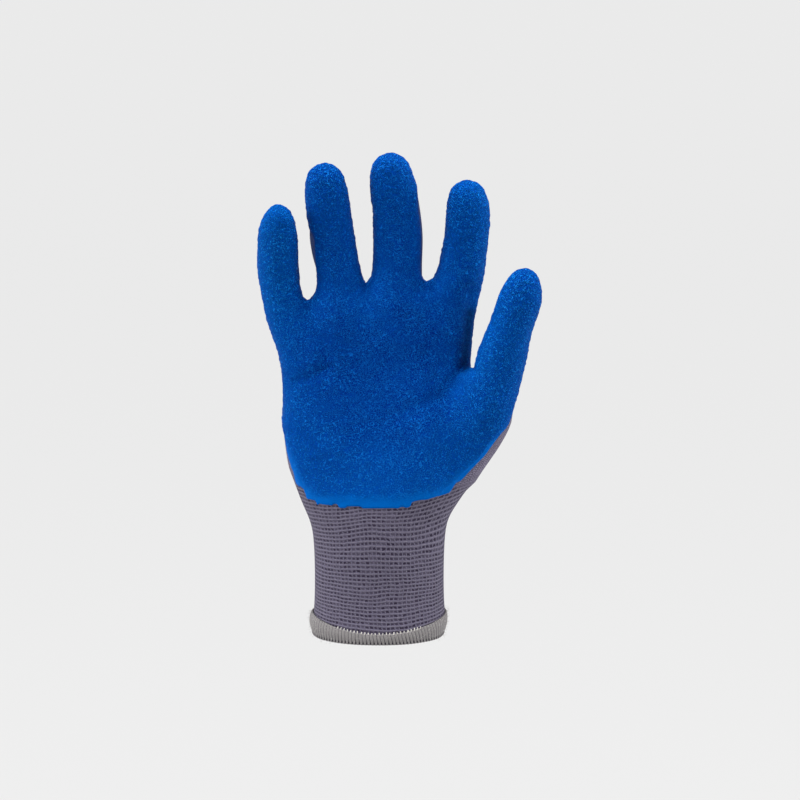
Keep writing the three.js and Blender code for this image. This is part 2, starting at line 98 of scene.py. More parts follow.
def linear(*srgb: float) -> Colour:
    """Turns red, green and blue from 0 to 255 into the linear colour that shaders take."""
    shares = [value / 255 for value in srgb]
    return (*[s / 12.92 if s <= 0.04045 else ((s + 0.055) / 1.055) ** 2.4 for s in shares], 1.0)


def smoothstep(low: float, high: float, values: np.ndarray) -> np.ndarray:
    """Eases values from 0 at low to 1 at high."""
    t = np.clip((values - low) / (high - low), 0, 1)
    return t * t * (3 - 2 * t)


@dataclass(frozen=True)
class Grain:
    """A noise: its scale, its octaves and how much the finer ones weigh."""

    scale: float
    detail: float = 2.0
    rough: float = 0.5


class Term:
    """A value in a shader. An expression on terms adds the Math nodes that it needs."""

    def __init__(self, shader: "Shader", socket: NodeSocket) -> None:
        """Wraps an output socket of a node in a shader."""
        self.shader = shader
        self.socket = socket

    def math(self, operation: str, *values: "Term | float") -> "Term":
        """Adds a Math node that takes this term first."""
        return self.shader.math(operation, self, *values)

    def __add__(self, other: "Term | float") -> "Term":
        """Adds."""
        return self.math("ADD", other)

    __radd__ = __add__

    def __sub__(self, other: "Term | float") -> "Term":
        """Subtracts."""
        return self.math("SUBTRACT", other)

    def __rsub__(self, other: float) -> "Term":
        """Subtracts this term from a number."""
        return self.shader.math("SUBTRACT", other, self)

    def __mul__(self, other: "Term | float") -> "Term":
        """Multiplies."""
        return self.math("MULTIPLY", other)

    __rmul__ = __mul__

    def fract(self) -> "Term":
        """Keeps what is past the last whole number."""
        return self.math("FRACT")

    def abs(self) -> "Term":
        """Drops the sign."""
        return self.math("ABSOLUTE")

    def off_middle(self) -> "Term":
        """Folds each whole step, to 0 in its middle and 1 at its ends."""
        return (self.fract() - 0.5).abs() * 2.0

    def ease(self, low: float, high: float, share: float = 1.0) -> "Term":
        """Eases from 0 at low to a share at high.

        Args:
            low: Where the rise starts.
            high: Where it ends; under low for a fall.
            share: What it reaches.

        Returns:
            The eased share.
        """
        settings = {"interpolation_type": "SMOOTHSTEP"}
        ends = {0: self, 1: min(low, high), 2: max(low, high)}
        rise = self.shader.node("ShaderNodeMapRange", settings, ends)
        return (1 - rise if low > high else rise) * share


class Shader:
    """One procedural material and the nodes that make it."""

    def __init__(self, name: str) -> None:
        """Starts an empty node tree.

        Args:
            name: The material's name.
        """
        self.material = bpy.data.materials.new(name)
        self.material.use_nodes = True
        self.tree = self.material.node_tree
        self.tree.nodes.clear()

    def node(
        self, kind: str, settings: dict | None = None, inputs: dict | None = None, output: int | str = 0
    ) -> Term:
        """Adds a node.

        Args:
            kind: The node's type.
            settings: Its properties, which are set first.
            inputs: Values or terms for its sockets, by index or name.
            output: The output that is wanted.

        Returns:
            The wanted output as a term.
        """
        made = self.tree.nodes.new(kind)
        for key, value in (settings or {}).items():
            setattr(made, key, value)
        for key, value in (inputs or {}).items():
            if isinstance(value, Term):
                self.tree.links.new(value.socket, made.inputs[key])
            else:
                made.inputs[key].default_value = value
        return Term(self, made.outputs[output])

    def math(self, operation: str, *values: Term | float) -> Term:
        """Adds a Math node."""
        return self.node("ShaderNodeMath", {"operation": operation}, dict(enumerate(values)))

    def vector(self, operation: str, *values: Term | tuple) -> Term:
        """Adds a Vector Math node."""
        return self.node("ShaderNodeVectorMath", {"operation": operation}, dict(enumerate(values)))

    def joined(self, x: Term | float, y: Term | float, z: Term | float = 0.0) -> Term:
        """Makes a vector of three numbers."""
        return self.node("ShaderNodeCombineXYZ", None, {0: x, 1: y, 2: z})

    def axes(self, vector: Term) -> list[Term]:
        """Takes a vector apart into its three numbers."""
        first = self.node("ShaderNodeSeparateXYZ", None, {0: vector})
        return [Term(self, socket) for socket in first.socket.node.outputs]

    def mixed(self, share: Term | float, low: Term | tuple, high: Term | tuple, blend: str = "MIX") -> Term:
        """Mixes two colours; share is how much of the second one is taken."""
        settings = {"data_type": "RGBA", "blend_type": blend}
        return self.node("ShaderNodeMix", settings, {0: share, 6: low, 7: high}, 2)

    def shaded(self, colour: Term, shade: Term, blue: Term | None = None) -> Term:
        """Multiplies a colour by a shade, and its blue by another shade if there is one."""
        return self.mixed(1.0, colour, self.joined(shade, shade, blue or shade), "MULTIPLY")

    def speckle(self, place: Term, grain: Grain) -> Term:
        """Adds a noise texture, from about 0 to about 1."""
        inputs = {"Vector": place, "Scale": grain.scale, "Detail": grain.detail, "Roughness": grain.rough}
        return self.node("ShaderNodeTexNoise", None, inputs, "Fac")

    def wobble(self, place: Term, grain: Grain, reach: float = 1.0) -> Term:
        """Adds a noise texture around 0."""
        return (self.speckle(place, grain) - 0.5) * reach

    def kept(self, label: str) -> Term:
        """Reads a number that the mesh keeps at its vertices."""
        return self.node("ShaderNodeAttribute", {"attribute_name": label}, output="Fac")

    def object_place(self) -> Term:
        """Reads the object's own coordinates, in millimetres."""
        place = self.node("ShaderNodeTexCoord", output="Object")
        return self.vector("MULTIPLY", place, (1 / MM, 1 / MM, 1 / MM))

    def bumped(self, height: Term, depth: float) -> Term:
        """Adds a Bump node over a height, with a depth in metres."""
        return self.node("ShaderNodeBump", None, {"Height": height, "Distance": depth}, "Normal")

    def finish(self, **sockets: object) -> Material:
        """Ends the material in a Principled surface.

        Args:
            sockets: Values or terms for its sockets, with underscores for spaces.

        Returns:
            The finished material.
        """
        named = {key.replace("_", " "): value for key, value in sockets.items()}
        surface = self.node("ShaderNodeBsdfPrincipled", None, named, "BSDF")
        end = self.tree.nodes.new("ShaderNodeOutputMaterial")
        self.tree.links.new(surface.socket, end.inputs["Surface"])
        return self.material


@dataclass(frozen=True)
class KnitFinish:
    """Grey-purple knit: dashed rows round the wrist, fine plain stitches over the hand.

    It reads the courses map. Its heights are in millimetres. Its light lines are painted highlights;
    painted shade darkens its stitch grooves, its palm side and the rows just above the hem.
    """

    ground: Colour = linear(99, 94, 113)
    dash: Colour = linear(44, 37, 55)
    # Painted highlight on the yarn between the rows.
    line: Colour = linear(143, 139, 154)
    plain: Colour = linear(134, 125, 142)
    # Painted shade in the grooves between stitch legs; also the colour of random darker patches.
    groove: Colour = linear(62, 55, 72)
    # Painted shade on the knit's palm side, stronger up the fingers.
    painted_side_shade: Colour = linear(50, 78, 140)
    fleck: Colour = linear(178, 174, 182)
    ribs_fade: Fade = (84.0, 76.0)
    ribs_drift: tuple = (Grain(0.12), 8.0)
    grain: Grain = Grain(1.5, 2.0, 0.6)
    grain_fade: Fade = (0.42, 0.62, 0.45)
    palm_side: Fade = (5.0, -3.0)
    side_shade_least: float = 0.1
    side_shade_up: Fade = (140.0, 165.0, 0.75)
    hem_shadow: Fade = (4.1, 3.0, 0.45)
    fibre: Grain = Grain(1.0, 3.0, 0.65)
    fibre_squeeze: Spread = (1.7, 1.7, 3.6)
    fibre_shade: tuple = (0.66, 0.7)
    fibre_relief: float = 0.4
    tuft: Grain = Grain(1.3, 2.0, 0.6)
    tuft_move: Spread = (9.0, 3.0, 5.0)
    tuft_fade: Fade = (0.66, 0.76, 0.4)
    wander_move: Spread = (40.0, 0.0, 0.0)
    wale_wander: tuple = ((Grain(0.16), 1.6), (Grain(0.8), 0.35))
    course_wander: tuple = ((Grain(0.06), 2.2), (Grain(0.45), 0.35))
    dash_slant: float = 0.25
    dash_uneven: Grain = Grain(2.6, 1.0)
    dash_sides: Fade = (1.0, 0.5)
    dash_top: Fade = (0.7, 0.3)
    dash_ragged: tuple = (0.7, 0.9)
    dash_share: tuple = (0.55, 0.5)
    line_fade: Fade = (0.84, 1.0)
    line_breaks: Grain = Grain(1.7, 1.0)
    line_least: float = 0.3
    line_whole: Fade = (0.34, 0.62, 0.7)
    line_share: tuple = (0.5, 0.4)
    line_relief: float = 0.5
    fineness: float = 1.6
    slant_step: tuple = (2.0, 0.7)
    slant_fade: Fade = (0.55, 0.95)
    leg_fade: Fade = (0.8, 1.0, 0.5)
    patch: Grain = Grain(1.3)
    patch_least: float = 0.4
    relief: float = 0.45 * MM

    def material(self, name: str) -> Material:
        """Builds the material.

        Args:
            name: The material's name.

        Returns:
            The finished material.
        """
        s = Shader(name)
        place = s.object_place()
        _, depth, height = s.axes(place)
        wale, course = self.wandering(s)
        dashes, dash_height = self.dashed(s, wale, course)
        plains, plain_height = self.plain_stitches(s, wale, course)
        plains = s.mixed(s.speckle(place, self.grain).ease(*self.grain_fade), plains, self.groove)
        # Painted shade: the plain knit on the palm side is darkened and blued, more so up the fingers.
        side_shade = depth.ease(*self.palm_side) * (self.side_shade_least + height.ease(*self.side_shade_up))
        plains = s.mixed(side_shade, plains, self.painted_side_shade)
        ribbed = (height + s.wobble(place, *self.ribs_drift)).ease(*self.ribs_fade)
        fibre = s.speckle(s.vector("MULTIPLY", place, self.fibre_squeeze), self.fibre)
        tuft = s.speckle(s.vector("ADD", place, self.tuft_move), self.tuft).ease(*self.tuft_fade)
        colour = s.mixed(ribbed, plains, dashes)
        colour = s.mixed(course.ease(*self.hem_shadow), colour, self.dash)
        colour = s.mixed(tuft, colour, self.fleck)
        colour = s.shaded(colour, self.fibre_shade[0] + fibre * self.fibre_shade[1])
        relief = dash_height * ribbed + plain_height * (1 - ribbed) + fibre * self.fibre_relief
        return s.finish(
            Base_Color=colour, Roughness=0.92, Normal=s.bumped(relief, self.relief),
            Sheen_Weight=0.05, Sheen_Roughness=0.6, Specular_IOR_Level=0.1,
        )

    def wandering(self, s: Shader) -> tuple[Term, Term]:
        """Reads the courses map and lets its rows wander a little.

        Args:
            s: The shader.

        Returns:
            The wale and the course.
        """
        courses = s.node("ShaderNodeUVMap", {"uv_map": "courses"})
        moved = s.vector("ADD", courses, self.wander_move)
        wale, course, _ = s.axes(courses)
        for grain, reach in self.wale_wander:
            wale += s.wobble(moved, grain, reach)
        for grain, reach in self.course_wander:
            course += s.wobble(courses, grain, reach)
        return wale, course

    def dashed(self, s: Shader, wale: Term, course: Term) -> tuple[Term, Term]:
        """Draws rows of dark dashes between thin light lines, which are painted highlights on the yarn.

        Args:
            s: The shader.
            wale: The wale.
            course: The course.

        Returns:
            The colour and the height.
        """
        stitch = s.joined(wale, course)
        cell = s.vector("FLOOR", stitch)
        random = s.node("ShaderNodeTexWhiteNoise", {"noise_dimensions": "2D"}, {"Vector": cell})
        row = course.off_middle()
        column = (wale + course.fract() * self.dash_slant).off_middle()
        uneven = s.wobble(stitch, self.dash_uneven)
        dash = (column + uneven * self.dash_ragged[0]).ease(*self.dash_sides)
        dash *= (row + uneven * self.dash_ragged[1]).ease(*self.dash_top)
        broken = s.speckle(stitch, self.line_breaks).ease(*self.line_whole)
        line = row.ease(*self.line_fade) * (self.line_least + broken)
        colour = s.mixed(dash * (self.dash_share[0] + random * self.dash_share[1]), self.ground, self.dash)
        # Painted highlight: the thin light lines on the yarn between the rows.
        colour = s.mixed(line * (self.line_share[0] + random * self.line_share[1]), colour, self.line)
        return colour, line * self.line_relief + (1 - dash)

    def plain_stitches(self, s: Shader, wale: Term, course: Term) -> tuple[Term, Term]:
        """Draws the fine slanted legs of plain stitches, with painted shade in the grooves between them.

        Args:
            s: The shader.
            wale: The wale.
            course: The course.

        Returns:
            The colour and the height.
        """
        leg = (wale * self.fineness).off_middle()
        slant = (course * self.slant_step[0] + leg * self.slant_step[1]).off_middle()
        dark = slant.ease(*self.slant_fade) + leg.ease(*self.leg_fade)
        patch = self.patch_least + s.speckle(s.joined(wale, course), self.patch)
        # Painted shade: the groove colour darkens the gaps between the legs.
        return s.mixed(dark.math("MINIMUM", 1.0) * patch, self.plain, self.groove), 1 - dark


@dataclass(frozen=True)
class LatexFinish:
    """Crinkled blue latex, smoother and brighter near its edge, with painted highlights on its crests,
    painted shade in its pits, painted light over the hand and a painted shadow in the fold beside the
    thumb.

    It reads the from_edge and fold attributes. Its places are in millimetres.
    """

    # deep is painted shade in the crinkle's pits, crest a painted highlight on its crests.
    deep: Colour = linear(0, 36, 116)
    ground: Colour = linear(0, 66, 158)
    crest: Colour = linear(16, 104, 196)
    band: Colour = linear(0, 82, 170)
    # Painted shadow of the thumb's web in the fold beside it.
    fold: Colour = linear(0, 20, 56)
    glint: Colour = (0.1, 0.5, 1.0, 1.0)
    smooth_band: Fade = (2.0, 8.5)
    band_drift: tuple = (Grain(0.3), 4.0)
    worms: Grain = Grain(1.2, 0.0)
    crest_fade: Fade = (0.1, 0.0)
    crest_share: float = 0.7
    crest_relief: float = 0.8
    pit_fade: Fade = (0.04, 0.16)
    pit_grain: Grain = Grain(0.6, 1.0)
    pit_move: Spread = (7.0, 31.0, 3.0)
    pit_share: tuple = (0.55, 0.9)
    strength: Grain = Grain(0.07)
    strength_least: float = 0.55
    strength_fade: Fade = (0.3, 0.62, 0.45)
    faint_share: float = 0.35
    dark_least: float = 0.4
    dark_near: Fade = (6.0, 20.0, 0.25)
    dark_far: Fade = (24.0, 42.0, 0.25)
    band_share: tuple = (0.15, 0.85)
    band_relief: tuple = (0.12, 0.88)
    fold_shadow_share: float = 0.72
    # Painted light: the colour's multiplier and where it is raised or lowered.
    tone: float = 1.22
    middle: float = -2.0
    side_across: Fade = (30.0, 54.0)
    side_up: Fade = (80.0, 150.0, 0.26)
    tips_up: Fade = (196.0, 240.0, 0.14)
    little_across: Fade = (-38.0, -46.0)
    little_up: Fade = (152.0, 182.0, 0.17)
    heel_down: Fade = (128.0, 104.0, 0.05)
    palm_fade: Fade = (22.0, 42.0, 0.1)
    blue_tone: tuple = (0.6, 0.4)
    relief: float = 0.4 * MM

    def material(self, name: str) -> Material:
        """Builds the material.

        Args:
            name: The material's name.

        Returns:
            The finished material.
        """
        s = Shader(name)
        place = s.object_place()
        away = s.kept("from_edge")
        inside = (away + s.wobble(place, *self.band_drift)).ease(*self.smooth_band)
        crests, pits = self.crinkle(s, place)
        strength = self.strength_least + s.speckle(place, self.strength).ease(*self.strength_fade)
        # Painted shade in the crinkle's pits, stronger away from the edge and most in the middle of the
        # palm; painted highlights on its crests.
        dark = pits * (self.dark_least + away.ease(*self.dark_near) + away.ease(*self.dark_far))
        colour = s.mixed(dark * strength + (1 - strength) * self.faint_share, self.ground, self.deep)
        colour = s.mixed(crests * strength * self.crest_share, colour, self.crest)
        colour = s.mixed(self.band_share[0] + inside * self.band_share[1], self.band, colour)
        # Painted shadow of the thumb's web in the fold beside it.
        colour = s.mixed(s.kept("fold") * self.fold_shadow_share, colour, self.fold)
        # Painted light and shade over the hand; the brightened parts are also made less blue.
        tone = self.painted_light(s, place, away)
        colour = s.shaded(colour, tone, self.blue_tone[0] + tone * self.blue_tone[1])
        height = crests * self.crest_relief + (1 - dark)
        height *= self.band_relief[0] + inside * self.band_relief[1]
        return s.finish(
            Base_Color=colour, Roughness=0.62, Normal=s.bumped(height, self.relief),
            Specular_IOR_Level=0.03, Specular_Tint=self.glint,
        )

    def crinkle(self, s: Shader, place: Term) -> tuple[Term, Term]:
        """Draws the maze of fine crests and the pits between them.

        Args:
            s: The shader.
            place: Where it is read.

        Returns:
            The crests and the pits.
        """
        worms = s.wobble(place, self.worms).abs()
        uneven = s.speckle(s.vector("ADD", place, self.pit_move), self.pit_grain)
        pits = worms.ease(*self.pit_fade) * (self.pit_share[0] + uneven * self.pit_share[1])
        return worms.ease(*self.crest_fade), pits

    def painted_light(self, s: Shader, place: Term, away: Term) -> Term:
        """Works out the painted light on the rubber: brighter at the sides, the little finger, the tips and
        the heel, darker towards the middle of the palm.

        Args:
            s: The shader.
            place: Where it is wanted.
            away: How far the edge is.

        Returns:
            What the colour is multiplied by.
        """
        across, _, up = s.axes(place)
        sides = (across - self.middle).abs().ease(*self.side_across) * up.ease(*self.side_up)
        little = across.ease(*self.little_across) * up.ease(*self.little_up)
        ends = up.ease(*self.tips_up) + up.ease(*self.heel_down)
        return self.tone + sides + little + ends - away.ease(*self.palm_fade)


@dataclass(frozen=True)
class ThreadFinish:
    """Pale grey overlock thread, with painted shade in the grooves and pits between its ribs and strands.
    It reads the ribs map.
    """

    thread: Colour = linear(128, 125, 125)
    shadow: Colour = linear(66, 62, 68)
    pit: Colour = linear(38, 34, 44)
    pit_height: float = 0.375
    pit_tall: Fade = (0.05, 0.025)
    pit_wide: Fade = (0.4, 0.7)
    groove_fade: Fade = (0.5, 1.0)
    groove_share: tuple = (0.25, 0.6)
    groove_up: Fade = (0.12, 0.36, 0.35)
    patch: Grain = Grain(0.5)
    strand_fade: Fade = (0.6, 1.0, 0.25)
    fibre: Grain = Grain(1.0, 3.0, 0.7)
    fibre_squeeze: Spread = (2.2, 2.2, 3.4)
    fibre_shade: tuple = (0.58, 0.8)
    relief: float = 0.25 * MM

    def material(self, name: str) -> Material:
        """Builds the material.

        Args:
            name: The material's name.

        Returns:
            The finished material.
        """
        s = Shader(name)
        place = s.object_place()
        rib, rise, _ = s.axes(s.node("ShaderNodeUVMap", {"uv_map": "ribs"}))
        off_rib = rib.off_middle()
        # Painted shade in the grooves between the ribs, uneven in patches, and between the strands; painted
        # shade in the pits.
        uneven_groove_shade = self.groove_share[0] + s.speckle(place, self.patch) * self.groove_share[1]
        groove = off_rib.ease(*self.groove_fade) * (uneven_groove_shade + rise.ease(*self.groove_up))
        strand = (rib * 2.0).off_middle().ease(*self.strand_fade)
        low = (rise - self.pit_height).abs().ease(*self.pit_tall) * off_rib.ease(*self.pit_wide)
        fibre = s.speckle(s.vector("MULTIPLY", place, self.fibre_squeeze), self.fibre)
        colour = s.mixed(low, s.mixed(groove + strand, self.thread, self.shadow), self.pit)
        return s.finish(
            Base_Color=s.shaded(colour, self.fibre_shade[0] + fibre * self.fibre_shade[1]),
            Roughness=0.9, Normal=s.bumped(fibre - low, self.relief),
            Sheen_Weight=0.15, Specular_IOR_Level=0.15,
        )


@dataclass(frozen=True)
class StitchFinish:
    """White needle thread, or fibres of another colour."""

    thread: Colour = linear(208, 205, 200)

    def material(self, name: str) -> Material:
        """Builds the material."""
        return Shader(name).finish(Base_Color=self.thread, Roughness=0.85, Specular_IOR_Level=0.2)


@dataclass(frozen=True)
class FloorFinish:
    """Seamless pale paper."""

    paper: Colour = linear(50, 50, 50)
    glow: Colour = linear(233, 233, 233)

    def material(self, name: str) -> Material:
        """Builds the material."""
        glow = {"Emission_Color": self.glow, "Emission_Strength": 1.0}
        return Shader(name).finish(Base_Color=self.paper, Roughness=1.0, Specular_IOR_Level=0.0, **glow)


def largest_patch(bm: BMesh, crosses: Callable[[BMEdge], bool]) -> set:
    """Finds the largest patch of connected faces.

    Args:
        bm: The mesh.
        crosses: Tells whether a patch goes on across an edge.

    Returns:
        The faces of the patch with the largest area.
    """
    left = set(bm.faces)
    patches = []
    while left:
        patch = set()
        front = [left.pop()]
        while front:
            face = front.pop()
            patch.add(face)
            for edge in face.edges:
                if crosses(edge):
                    beside = left.intersection(edge.link_faces)
                    left -= beside
                    front.extend(beside)
        patches.append(patch)
    return max(patches, key=lambda patch: sum(face.calc_area() for face in patch))


def keep_faces(bm: BMesh, kept: set) -> None:
    """Deletes all faces of a mesh but the kept ones."""
    bmesh.ops.delete(bm, geom=[face for face in bm.faces if face not in kept], context="FACES")


def outer_side(node: str) -> BMesh:
    """Copies the outer side of a CAD wall, without its inner side and its rims.

    Args:
        node: The CAD node.

    Returns:
        An open mesh. The side is found as the largest area that no sharp edge crosses.
    """
    bm = bmesh.new()
    bm.from_mesh(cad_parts[node].data)
    bmesh.ops.remove_doubles(bm, verts=bm.verts, dist=SAME_PLACE)
    keep_faces(bm, largest_patch(bm, lambda edge: edge.calc_face_angle(0.0) < SHARP))
    return bm


def mesh_of(bm: BMesh, name: str) -> Mesh:
    """Turns a bmesh into a mesh and frees it.

    Args:
        bm: The bmesh.
        name: The mesh's name.

    Returns:
        The mesh, shaded smooth.
    """
    for face in bm.faces:
        face.smooth = True
    mesh = bpy.data.meshes.new(name)
    bm.to_mesh(mesh)
    bm.free()
    return mesh


def shown(name: str, mesh: Mesh) -> Object:
    """Links a mesh into the scene as an object at the origin.

    Args:
        name: The object's name.
        mesh: Its mesh.

    Returns:
        The object.
    """
    made = bpy.data.objects.new(name, mesh)
    bpy.context.scene.collection.objects.link(made)
    return made


def subdivided(mesh: Mesh, levels: int, name: str) -> Mesh:
    """Applies a subdivision surface.

    Args:
        mesh: The coarse mesh.
        levels: How many times it is subdivided.
        name: The new mesh's name.

    Returns:
        The fine mesh.
    """
    carrier = shown(name + "_carrier", mesh)
    surface = carrier.modifiers.new("smooth", "SUBSURF")
    surface.levels = surface.render_levels = levels
    surface.boundary_smooth = "ALL"
    depsgraph = bpy.context.evaluated_depsgraph_get()
    fine = bpy.data.meshes.new_from_object(carrier.evaluated_get(depsgraph))
    fine.name = name
    bpy.data.objects.remove(carrier)
    return fine


def cover(piece: Object, slot: Slot, *nodes: str) -> None:
    """Lets a piece ride on the glove's body and stand for CAD nodes.

    Args:
        piece: The piece.
        slot: Its material slot; not used.
        nodes: The CAD nodes that it replaces.
    """
    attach(piece, BODY)
    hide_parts(*nodes)
    LOG.info("%s: %d faces", piece.name, len(piece.data.polygons))


def read(items: object, key: str, width: int = 1, kind: type = np.float32) -> np.ndarray:
    """Reads a property of every item of a mesh.

    Args:
        items: The mesh's vertices, loops or faces, or the data of one of its layers.
        key: The property.
        width: How many numbers it has.
        kind: The type of its numbers.

    Returns:
        A number for each item, or a row where the width is over 1.
    """
    flat = np.empty(len(items) * width, kind)
    items.foreach_get(key, flat)
    return flat.reshape(-1, width) if width > 1 else flat


def points_of(mesh: Mesh) -> np.ndarray:
    """Reads the places of a mesh's vertices."""
    return read(mesh.vertices, "co", 3).astype(float)


def normals_of(mesh: Mesh) -> np.ndarray:
    """Reads the normals of a mesh's vertices."""
    return read(mesh.vertex_normals, "vector", 3).astype(float)


def stalls_of(mesh: Mesh) -> np.ndarray:
    """Reads the material index of a mesh's faces, which tells their stalls."""
    return read(mesh.polygons, "material_index", kind=np.int32)


def place_points(mesh: Mesh, points: np.ndarray) -> None:
    """Moves a mesh's vertices to new places."""
    mesh.vertices.foreach_set("co", points.astype(np.float32).ravel())
    mesh.update()


def loops_of(mesh: Mesh) -> tuple[np.ndarray, np.ndarray]:
    """Reads which vertex and which face each corner of a mesh belongs to."""
    sizes = read(mesh.polygons, "loop_total", kind=np.int32)
    return read(mesh.loops, "vertex_index", kind=np.int32), np.repeat(np.arange(len(sizes)), sizes)


def lengths_along(path: np.ndarray) -> np.ndarray:
    """Measures the length of a path up to each of its points."""
    return np.concatenate([[0], np.cumsum(np.linalg.norm(np.diff(path, axis=0), axis=1))])


def rows_at(steps: np.ndarray, lengths: np.ndarray, rows: np.ndarray) -> np.ndarray:
    """Reads rows of three numbers at steps between the lengths that they are known at."""
    return np.stack([np.interp(steps, lengths, rows[:, k]) for k in range(3)], axis=1)


def unit(rows: np.ndarray) -> np.ndarray:
    """Scales each row to a length of 1."""
    return rows / np.linalg.norm(rows, axis=1)[:, None]


@dataclass
class Digit:
    """A finger or the thumb: its line from root to tip, and how many wales run round it."""

    stall: Stall
    root: tuple[float, float, float]
    reach: float
    stations: list[tuple[float, float, float]]
    wales: int
    root_length: float
    before: float = 30 * MM
    past: float = 10 * MM
    softenings: int = 12

    def line(self) -> tuple[np.ndarray, np.ndarray]:
        """Works out points along the digit.

        Returns:
            Points a millimetre or so apart from before the root to past the tip, and the length
            along the line at each, 0 at the root.
        """
        root = np.array(self.root) * MM
        places = [root]
        for up, out, forward in self.stations:
            places.append(root + np.array([out, -forward, up]) * self.reach * MM)
        first = places[1] - places[0]
        places.insert(0, root - first / np.linalg.norm(first) * self.before)
        last = places[-1] - places[-2]
        places.append(places[-1] + last / np.linalg.norm(last) * self.past)
        anchors = np.array(places)
        lengths = lengths_along(anchors)
        fine = np.arange(0, lengths[-1], 1 * MM)
        line = rows_at(fine, lengths, anchors)
        for _ in range(self.softenings):
            line[1:-1] = (line[:-2] + 2 * line[1:-1] + line[2:]) / 4
        return line, fine - lengths[1]

    def coordinates(self, points: np.ndarray) -> tuple[np.ndarray, np.ndarray, np.ndarray]:
        """Finds where points lie along and round the digit.

        Args:
            points: Places, one a row.

        Returns:
            The length along the digit, the angle round it from the middle of its back, towards the
            thumb side, and the distance from its line.
        """
        line, lengths = self.line()
        tangents = unit(np.gradient(line, axis=0))
        nearest = np.empty(len(points), int)
        for start in range(0, len(points), CHUNK):
            part = points[start:start + CHUNK]
            gaps = ((part[:, None, :] - line[None, :, :]) ** 2).sum(axis=2)
            nearest[start:start + CHUNK] = gaps.argmin(axis=1)
        tangent = tangents[nearest]
        offset = points - line[nearest]
        slip = (offset * tangent).sum(axis=1)
        back = unit(np.array([0.0, 1.0, 0.0]) - tangent * tangent[:, 1:2])
        side = np.cross(back, tangent)
        angle = np.arctan2((offset * side).sum(axis=1), (offset * back).sum(axis=1))
        return lengths[nearest] + slip, angle, np.linalg.norm(offset, axis=1)


DIGITS = [
    Digit(Stall.THUMB, (41.88, -8.13, 105.44), 82.7, [
        (0.178, 0.161, 0.037), (0.34, 0.2, 0.073), (0.497, 0.236, 0.115), (0.666, 0.28, 0.154),
        (0.799, 0.322, 0.197), (0.899, 0.341, 0.227), (1.0, 0.347, 0.252),
    ], 26, 28 * MM),
    Digit(Stall.LITTLE, (-44.3, 0.14, 159.94), 57.5, [
        (0.2, -0.06, 0.02), (0.43, -0.092, 0.07), (0.66, -0.087, 0.16), (0.82, -0.08, 0.245),
        (0.935, -0.067, 0.31), (1.0, -0.06, 0.345),
    ], 22, 24 * MM),
    Digit(Stall.RING, (-20.15, 0.17, 166.21), 71.5, [
        (0.175, 0.016, 0.02), (0.41, -0.028, 0.057), (0.64, -0.054, 0.12), (0.82, -0.074, 0.19),
        (0.94, -0.078, 0.235), (1.0, -0.078, 0.262),
    ], 25, 24 * MM),
    Digit(Stall.MIDDLE, (8.53, 0.17, 170.66), 72, [
        (0.175, 0.008, 0.017), (0.41, 0.015, 0.05), (0.63, 0.001, 0.105), (0.81, -0.026, 0.165),
        (0.935, -0.038, 0.21), (1.0, -0.038, 0.235),
    ], 26, 24 * MM),
    Digit(Stall.INDEX, (35.31, 0.14, 168.94), 60, [
        (0.2, 0.077, 0.026), (0.41, 0.114, 0.06), (0.62, 0.138, 0.12), (0.81, 0.137, 0.19),
        (0.935, 0.12, 0.24), (1.0, 0.102, 0.27),
    ], 25, 24 * MM),
]


